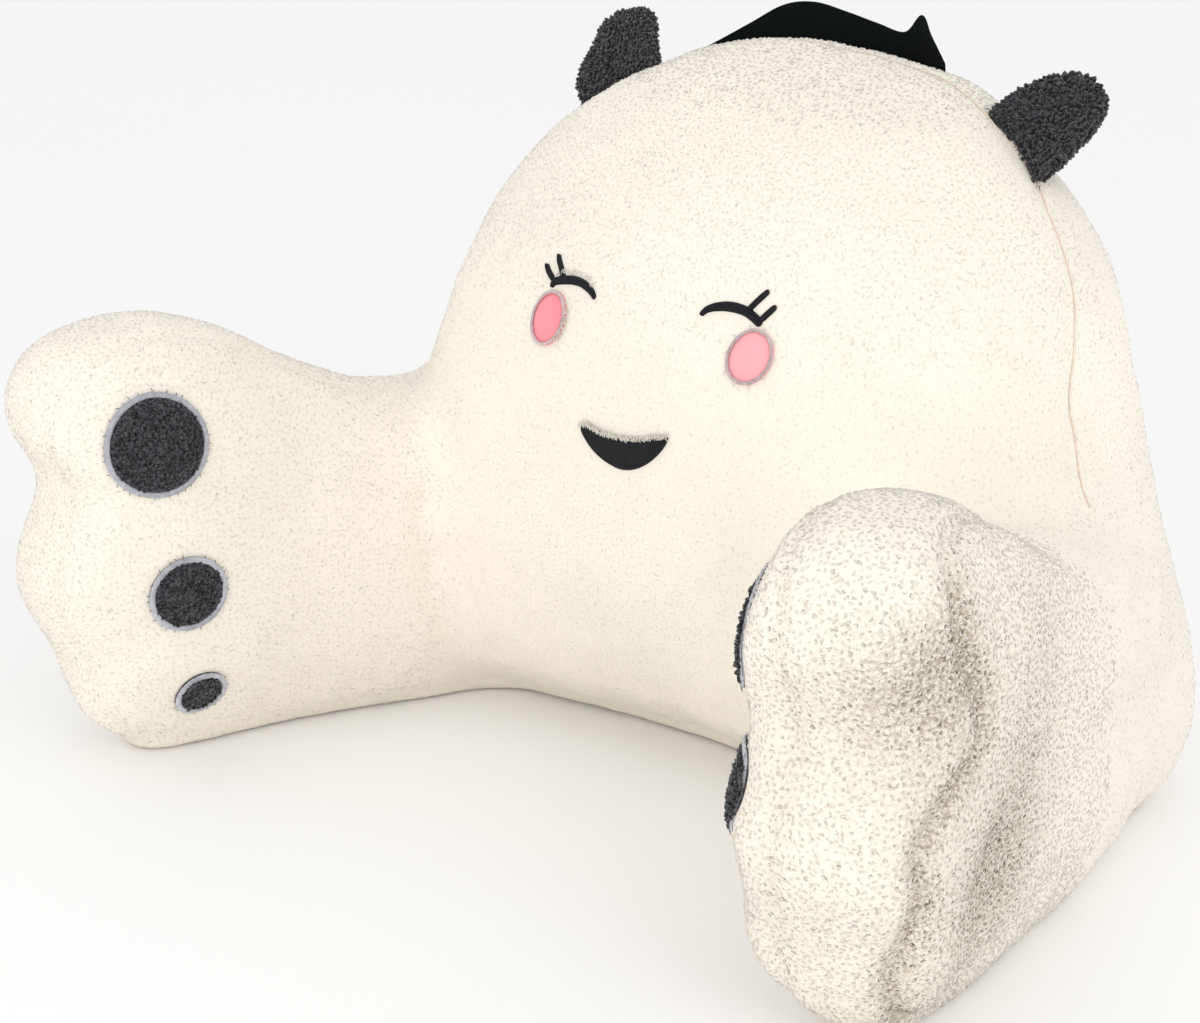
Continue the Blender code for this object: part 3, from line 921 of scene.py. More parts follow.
def laid(tree, instances, paint, output):
    """Ends a tree: its instances are made real and painted."""
    real = add(tree, "GeometryNodeRealizeInstances", {"Geometry": instances})
    painted = add(tree, "GeometryNodeSetMaterial", {"Geometry": real.outputs["Geometry"], "Material": paint})
    add(tree, "NodeGroupOutput", {output: painted.outputs["Geometry"]})
    return tree


def stitch_tree():
    """A node tree that lays one stitch at each point, turned by the point's own normal and direction."""
    sockets = (("Places", "Geometry"), ("Stitch", "Object"), ("Thread", "Material"))
    tree, start = new_tree("laid_stitches", sockets, "Stitches")
    points = add(tree, "GeometryNodeMeshToPoints", {"Mesh": start["Places"]}).outputs["Points"]
    up, across, size = (
        add(tree, "GeometryNodeInputNamedAttribute", {"Name": name}, data_type="FLOAT_VECTOR").outputs["Attribute"]
        for name in ("up", "across", "size")
    )
    axes = {"Primary Axis": up, "Secondary Axis": across}
    turn = add(tree, "FunctionNodeAxesToRotation", axes, primary_axis="Z", secondary_axis="X")
    stitch = add(tree, "GeometryNodeObjectInfo", {"Object": start["Stitch"]}).outputs["Geometry"]
    inputs = {"Points": points, "Instance": stitch, "Rotation": turn.outputs["Rotation"], "Scale": size}
    lay = add(tree, "GeometryNodeInstanceOnPoints", inputs)
    return laid(tree, lay.outputs["Instances"], start["Thread"], "Stitches")


def grown(obj, tree, inputs):
    """Runs a node tree on an object and keeps the mesh that it makes."""
    modifier = obj.modifiers.new("grown", "NODES")
    modifier.node_group = tree
    sockets = {
        item.name: item.identifier
        for item in tree.interface.items_tree
        if item.item_type == "SOCKET" and item.in_out == "INPUT"
    }
    for name, value in inputs.items():
        modifier[sockets[name]] = value
    applied(obj)
    smooth_shaded(obj.data)
    return obj


def stitch_form():
    """One raised thread, 1 long and 1 wide, lying along X with its ends in the cloth."""
    half = ((-0.5, -0.25, 0.55), (-0.38, 0.12, 0.9), (0.0, 0.30, 1.0))
    rings = [
        [(x, -0.5 * width, height - 0.3), (x, 0.0, height + 0.25), (x, 0.5 * width, height - 0.3)]
        for x, height, width in half + tuple((-x, height, width) for x, height, width in half[1::-1])
    ]
    obj = lofted("stitch_form", rings)
    obj.hide_render = True
    return obj


def laid_stitches(name, rows, thread, slot):
    """Rows of place, up, across and size become one finished mesh of stitches."""
    mesh = bpy.data.meshes.new(name)
    mesh.from_pydata([tuple(row[0]) for row in rows], [], [])
    for column, key in ((1, "up"), (2, "across"), (3, "size")):
        attribute = mesh.attributes.new(key, "FLOAT_VECTOR", "POINT")
        attribute.data.foreach_set("vector", np.array([tuple(row[column]) for row in rows], np.float32).ravel())
    obj = linked(name, mesh)
    if "stitch_tree" not in MADE:
        MADE["stitch_tree"] = stitch_tree()
        MADE["stitch_form"] = stitch_form()
    grown(obj, MADE["stitch_tree"], {"Stitch": MADE["stitch_form"], "Thread": material(thread)})
    return finished(obj, material(thread), slot)


def patch_rings(point_at, half_long, half_high, sides, profile):
    """Rings of a round patch from its edge to its middle: each profile row is share of the radius, and lift."""
    rings = []
    for share, lift in profile:
        places = (
            point_at(half_long * share * math.cos(angle), half_high * share * math.sin(angle)) for angle in turns(sides)
        )
        rings.append([place + normal * lift for place, normal in places])
    return rings


def patch_body(name, point_at, half_long, half_high, sides, profile):
    return lofted(name, patch_rings(point_at, half_long, half_high, sides, profile))


def border_rows(point_at, half_long, half_high, width, pitch, lift, thick, sunk=0.0):
    """Satin stitches side by side across the edge of a round patch. sunk lowers them on its front side."""
    root = math.sqrt((3 * half_long + half_high) * (half_long + 3 * half_high))
    around = math.pi * (3 * (half_long + half_high) - root)
    rows = []
    for index, angle in enumerate(turns(int(around / pitch))):
        wander = 0.10 * noise.noise(Vector((index * 0.9, half_long * 90, 3.0)))
        reach = 1 - width * (0.5 + wander * 0.4) / max(half_long, half_high)
        x, z = half_long * reach * math.cos(angle), half_high * reach * math.sin(angle)
        place, normal = point_at(x, z)
        outer, _ = point_at(x * 1.02, z * 1.02)
        across = (outer - place).normalized()
        height = lift - sunk * max(0.0, math.cos(angle))
        rows.append((place + normal * height, normal, across, (width * (1 + wander), pitch * 1.35, thick)))
    return rows


def pad_place(side, along, height):
    """A function that gives places on the arm's inner face round a pad's centre."""
    _, outward = arm_axes(side)
    tree = MADE["skin_tree"]

    def at(x, z):
        start = arm_point(side, along + x, -0.35, height + z)
        place, normal, _, _ = tree.ray_cast(start, outward)
        if place is None:
            raise RuntimeError("a paw pad misses its arm")
        return place, normal

    return at


def cheek_place(x0, z0):
    def at(x, z):
        return on_front(x0 + x, z0 + z)

    return at


# Satin stitches: pitch, lift and thickness.
PAD_STITCH = (0.00058, 0.0026, 0.0016)
CHEEK_STITCH = (0.00046, 0.0024, 0.0012)
CHEEK_BORDER = 0.0021

# Patches from the edge to the middle: share of the radius, and lift.
PATCH_EDGE = ((0.985, -0.0006), (0.99, 0.0010))
PAD_PROFILE = (*PATCH_EDGE, (0.90, 0.0022), (0.80, 0.0024), (0.62, 0.0028), (0.40, 0.0031), (0.20, 0.0033))
CHEEK_PROFILE = (*PATCH_EDGE, (0.92, 0.0020), (0.85, 0.0008), (0.78, 0.0022), (0.45, 0.0028), (0.20, 0.0030))


class PILLOW_OT_pads(bpy.types.Operator):
    """Adds the dark paw pads with their satin borders"""

    bl_idname = "pillow.pads"
    bl_label = "Paw pads"

    def execute(self, context):
        size = sizes()
        bare, plush = [], []
        for name, pad, along, height, half_long, half_high in PAW_PADS:
            at = pad_place(dict(SIDES)[name], along, height)
            node = f"pad_{name}_{pad}"
            obj = patch_body(node + "_plush", at, half_long, half_high, 64, PAD_PROFILE)
            # The dark fleece gets full relief and full painted shade.
            mark(obj.data, "deep", 1.0)
            finished(obj, material("charcoal_ground"), "charcoal_fleece", node)
            covered = size.border * 0.9 if name == "right" else 0.0
            plush.append((obj, at, half_long - size.border * 0.8, half_high - size.border * 0.8, covered))
            rows = border_rows(at, half_long, half_high, size.border, *PAD_STITCH, covered * 0.5)
            laid_stitches(f"border_{name}_{pad}", rows, "silver_thread", "silver_thread")
            bare.append(flat_patch(at, half_long, half_high))
        MADE["bare"] = MADE.get("bare", []) + bare
        MADE["pad_plush"] = plush
        return {"FINISHED"}


def flat_patch(point_at, half_long, half_high):
    """Places across a round patch, used to keep the pile off it."""
    rings = patch_rings(point_at, half_long, half_high, 24, ((1.0, 0.0), (0.7, 0.0), (0.4, 0.0)))
    return lofted("bare_patch", rings)


class PILLOW_OT_cheeks(bpy.types.Operator):
    """Adds the pink cheeks with their pale borders"""

    bl_idname = "pillow.cheeks"
    bl_label = "Cheeks"

    def execute(self, context):
        bare = []
        for name, x, z, half_wide, half_high in CHEEKS:
            at = cheek_place(x, z)
            obj = patch_body(f"cheek_{name}_knit", at, half_wide, half_high, 64, CHEEK_PROFILE)
            finished(obj, material("pink_patch"), "pink_patch", f"cheek_{name}")
            rows = border_rows(at, half_wide, half_high, CHEEK_BORDER, *CHEEK_STITCH)
            laid_stitches(f"cheek_border_{name}", rows, "pale_pink_thread", "pale_pink_thread")
            bare.append(moved(flat_patch(at, half_wide, half_high), (-0.0014 if name == "left" else 0.0, 0, 0)))
        MADE["bare"] = MADE.get("bare", []) + bare
        return {"FINISHED"}


def moved(obj, step):
    """Moves a helper's points, so that the pile laps over the far edge of what it keeps bare."""
    obj.data.transform(Matrix.Translation(step))
    return obj


# Face


# Half of an embroidered stroke's section, from its edge: share of its half width, and share of its lift.
STROKE_EDGE = ((-1, -0.0008), (-0.98, 0.30), (-0.7, 0.78), (-0.3, 0.97))
STROKE_PROFILE = STROKE_EDGE + tuple((-share, height) for share, height in reversed(STROKE_EDGE))


def stroke(name, rows, lift=0.0022, step=0.0005):
    """A satin-stitched line on the front panel: domed across, with a ridge for each thread."""
    line = spline(rows, step)
    count = len(line)
    rings = []
    for index, (x, z, half) in enumerate(line):
        before, after = beside(line, index)
        run = Vector((after[0] - before[0], after[1] - before[1])).normalized()
        reach = min(index, count - 1 - index) * step
        half = half * math.sqrt(max(0.05, 1 - (1 - min(1.0, reach / half)) ** 2))
        ridge = 0.00016 if index % 2 else 0.0
        ring = []
        for share, height in STROKE_PROFILE:
            place, normal = on_front(x - run.y * half * share, z + run.x * half * share)
            ring.append(place + normal * (height * lift + ridge if height > 0 else height))
        rings.append(ring)
    return lofted(name, rings)


def mouth():
    """The filled mouth: threads run up and down between its two edges."""
    count = 150
    upper = spline(MOUTH_UPPER, 0.0002)
    lower = spline(MOUTH_LOWER, 0.0002)
    rings = []
    for index in range(count + 1):
        x = -0.0340 + 0.0717 * index / count
        high = np.interp(x, upper[:, 0], upper[:, 1])
        low = min(np.interp(x, lower[:, 0], lower[:, 1]), high - 0.0004)
        ridge = 0.00014 if index % 2 else 0.0
        ring = [on_front(x, low - 0.0002, -0.0008)[0]]
        for share in np.linspace(0, 1, 13):
            dome = math.sqrt(max(0.0, 1 - (2 * share - 1) ** 2))
            height = 0.0005 + 0.0022 * min(1.0, dome * 1.6) * min(1.0, (high - low) / 0.006)
            height -= 0.0006 * math.exp(-(((share - 0.48) / 0.05) ** 2))
            ring.append(on_front(x, low + (high - low) * share, height + ridge)[0])
        ring.append(on_front(x, high + 0.0002, -0.0008)[0])
        rings.append(ring)
    return lofted("mouth_embroidery", rings)


def joined(objects, name):
    build = bmesh.new()
    for obj in objects:
        build.from_mesh(obj.data)
    mesh = mesh_from(build, name)
    for obj in objects:
        old = obj.data
        bpy.data.objects.remove(obj)
        bpy.data.meshes.remove(old)
    smooth_shaded(mesh)
    return linked(name, mesh)


class PILLOW_OT_face(bpy.types.Operator):
    """Embroiders the eyes and the mouth on the front panel"""

    bl_idname = "pillow.face"
    bl_label = "Embroidered face"

    def execute(self, context):
        bare = []
        for side in ("right", "left"):
            strokes = [stroke(name, rows) for name, rows in EYE_STROKES if f"_{side}" in name]
            eye = joined(strokes, f"eye_{side}_embroidery")
            finished(eye, material("black_thread"), "black_thread")
            bare.append(moved(linked("bare_eye", eye.data.copy()), (0, 0, -0.0012 if side == "left" else 0.0)))
        lips = mouth()
        finished(lips, material("black_thread"), "black_thread")
        bare.append(moved(linked("bare_mouth", lips.data.copy()), (0, 0, -0.0022)))
        MADE["bare"] = MADE.get("bare", []) + bare
        return {"FINISHED"}


# Ears


def ear_skin(name):
    build = bmesh.new()
    merged_copy(f"ear_{name}", build)
    obj = remeshed(linked(f"ear_{name}_plush", mesh_from(build, f"ear_{name}_plush")), 0.0026)
    mesh = obj.data
    points = relaxed(points_of(mesh), mesh, 0.7, 4)
    put_points(mesh, points)
    points = points - normals_of(mesh) * 0.0020
    points = points + normals_of(mesh) * (noise_of(points, 45.0) * 0.0016)[:, None]
    for ear, place, step, reach in EAR_PULLS:
        if ear == name:
            points = points + falling(away_from(points, place), reach)[:, None] * np.array(step)
    back = BVHTree.FromPolygons(*polygons("back_cushion"))
    for index, point in enumerate(points):
        _, normal, _, away = back.find_nearest(Vector(point))
        points[index] -= np.array(normal) * 0.009 * max(0.0, 1 - away / 0.006)
    put_points(mesh, points)
    smooth_shaded(mesh)
    # The dark fleece gets full relief and full painted shade.
    mark(mesh, "deep", 1.0)
    return obj


class PILLOW_OT_ears(bpy.types.Operator):
    """Adds the two plush ears"""

    bl_idname = "pillow.ears"
    bl_label = "Ears"

    def execute(self, context):
        MADE["ears"] = []
        for name, _ in SIDES:
            obj = ear_skin(name)
            finished(obj, material("charcoal_ground"), "charcoal_fleece", f"ear_{name}")
            MADE["ears"].append(obj)
        return {"FINISHED"}


# Handle


class PILLOW_OT_handle(bpy.types.Operator):
    """Adds the webbing handle at the top of the back"""

    bl_idname = "pillow.handle"
    bl_label = "Handle"

    def execute(self, context):
        rows = spline(STRAP_ROWS, 0.002)
        rings, length = [], 0.0
        for index, (x, y, z, lean, sideways) in enumerate(rows):
            across = Vector((sideways, lean, 1.0)).normalized()
            before, after = beside(rows, index)
            run = (Vector(after[:3]) - Vector(before[:3])).normalized()
            normal = run.cross(across).normalized()
            middle = Vector((x, y, z))
            if index:
                length += (Vector(rows[index][:3]) - Vector(rows[index - 1][:3])).length
            rings.append([middle + across * (share * STRAP_WIDTH / 2) + normal * lift for share, lift in STRAP_SECTION])
        obj = lofted("handle_webbing", rings)
        finished(obj, material("black_webbing"), "black_webbing", "handle_strap")
        return {"FINISHED"}


# Seams


class PILLOW_OT_seams(bpy.types.Operator):
    """Draws the seam line that lies in each gusset groove"""

    bl_idname = "pillow.seams"
    bl_label = "Seam lines"

    def execute(self, context):
        tree = MADE["skin_tree"]
        found = []
        for number, (kind, _, _, line) in enumerate(seam_lines()):
            if kind != "gusset":
                continue
            places, normals = seam_places(kind, line, tree)
            rings = []
            for index, (place, normal) in enumerate(zip(places, normals)):
                before, after = beside(places, index)
                across = normal.cross((after - before).normalized()).normalized()
                rings.append([
                    place + across * (0.0006 * math.cos(angle)) + normal * (0.0005 * math.sin(angle) + 0.0006)
                    for angle in turns(6)
                ])
            found.append(lofted(f"seam_{number}", rings))
        obj = joined(found, "seam_lines")
        MADE["seam_helper"] = linked("seam_helper", obj.data.copy())
        finished(obj, material("seam_thread"), "cream_fleece")
        return {"FINISHED"}


# Pile


def curl_form(number, length, bend, twist, radius, lift, flat, sides, steps):
    """One curl: a tapered strand that rises from the cloth, bends and goes back into it."""
    x = y = 0.0
    heading = -bend / 2
    centres = [(0.0, 0.0)]
    for index in range(steps):
        heading += bend / steps * (1 if index < steps / 2 else twist)
        x += math.cos(heading) * length / steps
        y += math.sin(heading) * length / steps
        centres.append((x, y))
    middle = np.mean(centres, axis=0)
    build = bmesh.new()
    # rise is how high each point sits on the curl; the fleece paints shade on the low ones.
    rise = build.verts.layers.float.new("rise")
    rows = []
    for index, (cx, cy) in enumerate(centres):
        place = Vector((cx - middle[0], cy - middle[1], lift * math.sin(math.pi * index / steps) - 0.0008))
        if index in (0, steps):
            tip = build.verts.new(place)
            tip[rise] = 0.2
            rows.append([tip])
            continue
        before, after = centres[index - 1], centres[index + 1]
        run = Vector((after[0] - before[0], after[1] - before[1], 0)).normalized()
        across = Vector((-run.y, run.x, 0))
        ring = []
        for angle in turns(sides, math.pi / 2):
            aside, above = math.cos(angle), math.sin(angle)
            vert = build.verts.new(place + across * radius * aside + Vector((0, 0, flat * radius * above)))
            vert[rise] = 0.5 + 0.5 * above
            ring.append(vert)
        rows.append(ring)
    for before, after in zip(rows, rows[1:]):
        for turn in range(sides):
            nxt = (turn + 1) % sides
            if len(before) == 1:
                build.faces.new((before[0], after[turn], after[nxt]))
            elif len(after) == 1:
                build.faces.new((before[turn], after[0], before[nxt]))
            else:
                build.faces.new((before[turn], after[turn], after[nxt], before[nxt]))
    bmesh.ops.recalc_face_normals(build, faces=build.faces)
    mesh = mesh_from(build, f"curl_{number}")
    smooth_shaded(mesh)
    return mesh


def curl_collection(name, length, radius, lift, flat, sides, steps):
    """Four curls to pick from."""
    group = bpy.data.collections.new(name)
    for number, (bend, twist) in enumerate(((2.6, 1), (-1.8, 1), (2.4, -1), (-2.2, -0.6))):
        mesh = curl_form(number, length, bend, twist, radius, lift, flat, sides, steps)
        group.objects.link(bpy.data.objects.new(f"{name}_{number}", mesh))
    return group


def random_node(tree, kind, seed, inputs=(), output=1):
    return add(tree, "FunctionNodeRandomValue", {"Seed": seed, **dict(inputs)}, data_type=kind).outputs[output]


def stored(tree, geometry, name, value, kind, domain):
    """Keeps a value on a geometry under a name."""
    inputs = {"Geometry": geometry, "Name": name, "Value": value}
    return add(tree, "GeometryNodeStoreNamedAttribute", inputs, data_type=kind, domain=domain).outputs["Geometry"]


def pile_tree():
    """A node tree that grows curls on a skin and keeps them off the places that stay bare."""
    sockets = (
        ("Skin", "Geometry"),
        ("Curls", "Collection"),
        ("Bare Places", "Object"),
        ("Seams", "Object"),
        ("Spacing", "Float", 0.005),
        ("Bare Margin", "Float", 0.0018),
        ("Seam Margin", "Float", 0.0010),
        ("Smallest", "Float", 0.8),
        ("Largest", "Float", 1.2),
        ("Seed", "Int", 0),
        ("Yarn", "Material"),
    )
    tree, start = new_tree("curly_pile", sockets, "Pile")
    inputs = {"Mesh": start["Skin"], "Distance Min": start["Spacing"], "Density Max": 400000.0, "Seed": start["Seed"]}
    spread = add(tree, "GeometryNodeDistributePointsOnFaces", inputs, distribute_method="POISSON").outputs
    points = spread["Points"]
    for helper, margin in (("Bare Places", "Bare Margin"), ("Seams", "Seam Margin")):
        bare = add(tree, "GeometryNodeObjectInfo", {"Object": start[helper]}).outputs["Geometry"]
        near = add(tree, "GeometryNodeProximity", {0: bare}, target_element="FACES").outputs
        inputs = {0: near["Distance"], 1: start[margin]}
        test = add(tree, "FunctionNodeCompare", inputs, data_type="FLOAT", operation="LESS_THAN")
        both = add(tree, "FunctionNodeBooleanMath", {0: test.outputs[0], 1: near["Is Valid"]}, operation="AND")
        inputs = {"Geometry": points, "Selection": both.outputs[0]}
        points = add(tree, "GeometryNodeDeleteGeometry", inputs, domain="POINT").outputs["Geometry"]
    inputs = {"Collection": start["Curls"], "Separate Children": True, "Reset Children": True}
    kinds = add(tree, "GeometryNodeCollectionInfo", inputs).outputs[0]
    pick = random_node(tree, "INT", 11, {4: 0, 5: 3}, 2)
    lean = random_node(tree, "FLOAT_VECTOR", 12, {0: (-0.35, -0.35, 0.0), 1: (0.35, 0.35, math.tau)}, 0)
    turned = add(tree, "FunctionNodeEulerToRotation", {0: lean}).outputs[0]
    inputs = {0: spread["Rotation"], 1: turned}
    spin = add(tree, "FunctionNodeRotateRotation", inputs, rotation_space="LOCAL").outputs[0]
    grow = random_node(tree, "FLOAT", 13, {2: start["Smallest"], 3: start["Largest"]})
    inputs = {
        "Points": stored(tree, points, "skin_normal", spread["Normal"], "FLOAT_VECTOR", "POINT"),
        "Pick Instance": True,
        "Instance": kinds,
        "Instance Index": pick,
        "Rotation": spin,
        "Scale": grow,
    }
    curls = add(tree, "GeometryNodeInstanceOnPoints", inputs).outputs["Instances"]
    curls = stored(tree, curls, "shade", random_node(tree, "FLOAT", 14), "FLOAT", "INSTANCE")
    return laid(tree, curls, start["Yarn"], "Pile")


def grown_pile(name, skin, curls, spacing, colour, seam_margin=0.0010):
    """Curls on one skin, as a finished mesh. The skin given is used up."""
    if "pile_tree" not in MADE:
        MADE["pile_tree"] = pile_tree()
    skin.name = name
    yarn = material(f"{colour}_curls")
    inputs = {"Curls": curls}
    if MADE.get("bare_places"):
        inputs |= {"Bare Places": MADE["bare_places"], "Seams": MADE["seam_helper"]}
    inputs |= {"Spacing": spacing, "Bare Margin": 0.0018, "Seam Margin": seam_margin}
    inputs |= {"Smallest": 0.75, "Largest": 1.25, "Seed": sizes().seed, "Yarn": yarn}
    return finished(grown(skin, MADE["pile_tree"], inputs), yarn, f"{colour}_fleece")


def piece_of_skin(obj, keep):
    """A copy of part of a mesh: the faces whose centres pass the test."""
    build = bmesh.new()
    build.from_mesh(obj.data)
    build.faces.ensure_lookup_table()
    centres = np.array([face.calc_center_median() for face in build.faces])
    normals = np.array([face.normal for face in build.faces])
    chosen = keep(centres, normals)
    bmesh.ops.delete(build, geom=[face for face, kept in zip(build.faces, chosen) if not kept], context="FACES")
    return linked("skin_piece", mesh_from(build, "skin_piece"))


def scatter(centres):
    """A fixed number from -0.5 to 0.5 for each face, so that one kind of curl changes softly into the next."""
    return np.modf(np.abs(np.sin(centres @ np.array((1271.0, 3117.0, 2693.0)))) * 43758.0)[0] - 0.5


def in_arm(centres, side):
    along, outward, _ = arm_coordinates(centres, side)
    return (along + 0.06 * scatter(centres) > 0.09) & (np.abs(outward) < 0.115) & (centres[:, 0] * side > 0.15)


def standing(centres, normals):
    return (centres[:, 2] > 0.004) & ((normals[:, 2] > -0.75) | (centres[:, 2] > 0.015))


def in_back(centres, normals, side, facing=0):
    own_half = (centres[:, 0] * side >= 0) & (normals[:, 1] * facing >= 0)
    return own_half & ~in_arm(centres, 1) & ~in_arm(centres, -1) & standing(centres, normals)


def above(centres, height, wander):
    return centres[:, 2] + wander * scatter(centres) > height


def in_crest(centres):
    return above(centres, 0.455, 0.03)


def in_brow(centres):
    return above(centres, 0.37, 0.12)


# The pile's regions on each side: name, curls on the left and on the right, share of the spacing, and test.
PILES = (
    ("arm", ("soft", "cream"), 0.89, lambda c, n, side: in_arm(c, side) & standing(c, n)),
    ("crest", ("cream", "cream"), 0.95, lambda c, n, side: in_back(c, n, side) & in_crest(c)),
    ("brow", ("soft", "soft"), 0.95, lambda c, n, side: in_back(c, n, side, -1) & in_brow(c) & ~in_crest(c)),
    ("front", ("fine", "fine"), 1.0, lambda c, n, side: in_back(c, n, side, -1) & ~in_brow(c)),
    ("rear", ("fine", "fine"), 1.2, lambda c, n, side: in_back(c, n, side, 1) & ~in_crest(c)),
)


class PILLOW_OT_pile(bpy.types.Operator):
    """Grows the curly pile on the skin, the ears and the paw pads"""

    bl_idname = "pillow.pile"
    bl_label = "Curly pile"

    def execute(self, context):
        size = sizes()
        MADE["bare_places"] = joined(MADE.pop("bare"), "bare_places")
        MADE["bare_places"].hide_render = True
        MADE["seam_helper"].hide_render = True
        forms = (
            ("fine", 0.0046, 0.0011, size.pile * 0.12, 0.8, 3, 3),
            ("soft", 0.0046, 0.0012, size.pile * 0.20, 0.75, 3, 3),
            ("cream", 0.0045, 0.0013, size.pile * 0.30, 0.75, 3, 3),
            ("dark", 0.0052, 0.0014, 0.0026, 1.0, 4, 4),
            ("pad", 0.0042, 0.0012, 0.0022, 1.0, 4, 4),
        )
        curls = {name: curl_collection(f"{name}_curl", *form) for name, *form in forms}
        for number, (name, side) in enumerate(SIDES):
            for region, kinds, share, keep in PILES:
                ground = piece_of_skin(MADE["skin"], lambda c, n: keep(c, n, side))
                margin = 0.0 if region == "crest" else 0.0010
                spacing = size.curl_spacing * share
                grown_pile(f"pile_{region}_{name}", ground, curls[kinds[number]], spacing, "cream", margin)
        bare = MADE.pop("bare_places")
        for obj in MADE["ears"]:
            copy = linked("ear_copy", obj.data.copy())
            name = obj.name.replace("_plush", "_pile")
            grown_pile(name, copy, curls["dark"], size.dark_spacing, "charcoal")
        profile = ((0.94, 0.0022), (0.8, 0.0024), (0.5, 0.0030), (0.2, 0.0033))
        for obj, at, half_long, half_high, covered in MADE["pad_plush"]:
            disc = patch_body("pad_copy", lambda x, z: at(x + covered, z), half_long, half_high, 32, profile)
            # The dark fleece gets full relief and full painted shade.
            mark(disc.data, "deep", 1.0)
            name = obj.name.replace("_plush", "_pile")
            grown_pile(name, disc, curls["pad"], size.dark_spacing * 0.95, "charcoal")
        for helper in (bare, MADE["seam_helper"]):
            bpy.data.objects.remove(helper)
        for group in curls.values():
            for obj in list(group.objects):
                bpy.data.objects.remove(obj)
            bpy.data.collections.remove(group)
        return {"FINISHED"}


def strand_rows(places, size, wander, seed):
    """Thin strands: each place is a point, the way up from the cloth, and the way that the strand lies."""
    picker = np.random.default_rng(seed)
    rows = []
    for place, up, along in places:
        aside = up.cross(along).normalized()
        lie = (along + aside * picker.uniform(-wander, wander)).normalized()
        scale = picker.uniform(0.6, 1.3)
        start = place + aside * picker.uniform(-0.0006, 0.0006) + along * picker.uniform(-0.0012, 0.0008)
        rows.append((start, up, lie, (size[0] * scale, size[1], size[1])))
    return rows


def edge_places(line, along, lift, step):
    """Places for strands along a line on the front panel."""
    found = []
    for x, z in spline([row[:2] for row in line], step):
        place, normal = on_front(x, z, lift)
        found.append((place, normal, Vector(along)))
    return found


def rim_places(at, half_long, half_high, share, lift, count, outwards):
    """Places for strands round a patch's rim, pointing out of it or into it."""
    found = []
    for index in range(count):
        angle = math.tau * (index + 0.37 * math.sin(index * 5.1)) / count
        x, z = half_long * share * math.cos(angle), half_high * share * math.sin(angle)
        place, normal = at(x, z)
        beyond, _ = at(x * 1.05, z * 1.05)
        found.append((place + normal * lift, normal, (beyond - place).normalized() * outwards))
    return found


class PILLOW_OT_strands(bpy.types.Operator):
    """Lays loose strands of pile over the edges of the embroidery, the pads and the ears"""

    bl_idname = "pillow.strands"
    bl_label = "Loose strands"

    def execute(self, context):
        cream = edge_places(MOUTH_UPPER, (0.1, 0, -1), 0.0027, 0.00055)
        brow = [(x, z + half * 1.6) for x, z, half in EYE_STROKES[3][1]]
        cream += edge_places(brow, (0.1, 0, -1), 0.0020, 0.0022)[3:-3]
        for name, x, z, half_wide, half_high in CHEEKS:
            rim = rim_places(cheek_place(x, z), half_wide, half_high, 1.02, 0.0022, 90, -1)
            cream += [row for row in rim if row[0].x > x + half_wide * 0.75] if name == "left" else rim[::9]
        rows = strand_rows(cream, (0.0038, 0.0008), 0.7, 3)
        laid_stitches("loose_cream_strands", rows, "cream_strands", "cream_fleece")

        dark = []
        for name, _, along, height, half_long, half_high in PAW_PADS:
            at = pad_place(dict(SIDES)[name], along, height)
            dark += rim_places(at, half_long, half_high, 1.01, 0.0022, int(900 * half_long), 1)
        tree = MADE["skin_tree"]
        for _, side in SIDES:
            for x, y, z in spline(EAR_BASE, 0.0012):
                place, normal, _, _ = tree.find_nearest(Vector((x * side, y, z)))
                dark.append((place + normal * 0.0022, normal, Vector((-0.3 * side, -0.5, -0.8)).normalized()))
        rows = strand_rows(dark, (0.0032, 0.0005), 0.9, 4)
        laid_stitches("loose_dark_strands", rows, "charcoal_strands", "charcoal_fleece")
        bpy.data.objects.remove(MADE["stitch_form"])
        return {"FINISHED"}


# Stage


def area_light(name, place, target, width, height, power, colour):
    data = bpy.data.lights.new(name, "AREA")
    data.shape = "RECTANGLE"
    data.size = width
    data.size_y = height
    data.energy = power
    data.color = colour
    obj = linked(name, data)
    obj.location = place
    obj.rotation_euler = (Vector(target) - Vector(place)).to_track_quat("-Z", "Y").to_euler()
    return obj


def set_camera(scene):
    yaw, pitch, roll = (math.radians(value) for value in (CAMERA_YAW, CAMERA_PITCH, CAMERA_ROLL))
    ahead = Vector((-math.sin(yaw) * math.cos(pitch), math.cos(yaw) * math.cos(pitch), -math.sin(pitch)))
    level = Vector((math.cos(yaw), math.sin(yaw), 0))
    upright = level.cross(ahead)
    right = level * math.cos(roll) + upright * math.sin(roll)
    up = upright * math.cos(roll) - level * math.sin(roll)
    data = bpy.data.cameras.new("camera")
    data.lens = CAMERA_LENS
    data.sensor_width = 36.0
    camera = linked("camera", data)
    matrix = Matrix((right, up, -ahead)).transposed().to_4x4()
    matrix.translation = Vector(CAMERA_PLACE)
    camera.matrix_world = matrix
    scene.camera = camera


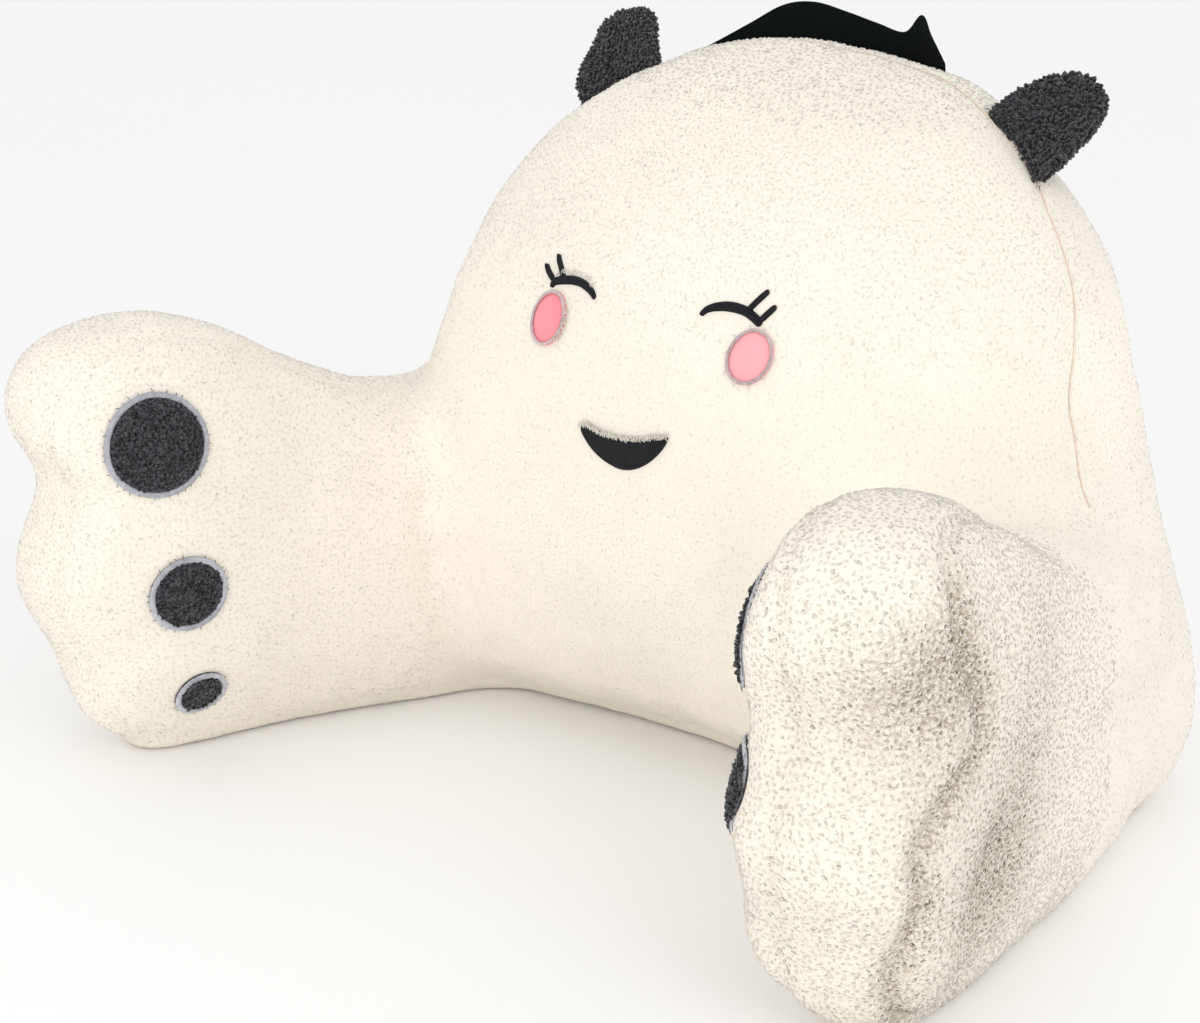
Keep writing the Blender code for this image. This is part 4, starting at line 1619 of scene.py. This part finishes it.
class PILLOW_OT_stage(bpy.types.Operator):
    """Sets up the camera, the soft studio light and the pale floor"""

    bl_idname = "pillow.stage"
    bl_label = "Stage"

    def execute(self, context):
        set_camera(context.scene)
        context.scene.view_settings.view_transform = "Standard"

        world = bpy.data.worlds.new("studio")
        world.use_nodes = True
        background = {"Color": (1.0, 1.0, 1.0, 1.0), "Strength": STUDIO_STRENGTH}
        feed(world.node_tree, world.node_tree.nodes["Background"], background)
        context.scene.world = world
        for light in STUDIO_LIGHTS:
            area_light(*light)

        build = bmesh.new()
        bmesh.ops.create_grid(build, x_segments=8, y_segments=8, size=6.0)
        mesh = mesh_from(build, "studio_floor")
        floor = linked("studio_floor", mesh)
        mesh.materials.append(floor_finish("pale_floor", (0.96, 0.96, 0.96)))
        return {"FINISHED"}


class PILLOW_PT_panel(bpy.types.Panel):
    """Lists the pillow's sizes, colours and pieces"""

    bl_idname = "PILLOW_PT_panel"
    bl_label = "Backrest pillow"
    bl_space_type = "VIEW_3D"
    bl_region_type = "UI"
    bl_category = "Pillow"

    def draw(self, context):
        layout = self.layout
        for group in (context.scene.pillow_sizes, context.scene.pillow_colours):
            column = layout.column()
            for key in group.__annotations__:
                column.prop(group, key)
        for operator in OPERATORS:
            layout.operator(operator.bl_idname)


OPERATORS = (
    PILLOW_OT_stage,
    PILLOW_OT_skin,
    PILLOW_OT_seams,
    PILLOW_OT_pads,
    PILLOW_OT_cheeks,
    PILLOW_OT_face,
    PILLOW_OT_ears,
    PILLOW_OT_handle,
    PILLOW_OT_pile,
    PILLOW_OT_strands,
)
CLASSES = (PillowSizes, PillowColours, *OPERATORS, PILLOW_PT_panel)


def register():
    for item in CLASSES:
        bpy.utils.register_class(item)
    bpy.types.Scene.pillow_sizes = bpy.props.PointerProperty(type=PillowSizes)
    bpy.types.Scene.pillow_colours = bpy.props.PointerProperty(type=PillowColours)


def unregister():
    del bpy.types.Scene.pillow_colours
    del bpy.types.Scene.pillow_sizes
    for item in reversed(CLASSES):
        bpy.utils.unregister_class(item)


def main():
    register()
    for operator in OPERATORS:
        area, name = operator.bl_idname.split(".")
        result = getattr(getattr(bpy.ops, area), name)()
        if result != {"FINISHED"}:
            raise RuntimeError(f"{operator.bl_idname} didn't finish")


if __name__ == "__main__":
    main()
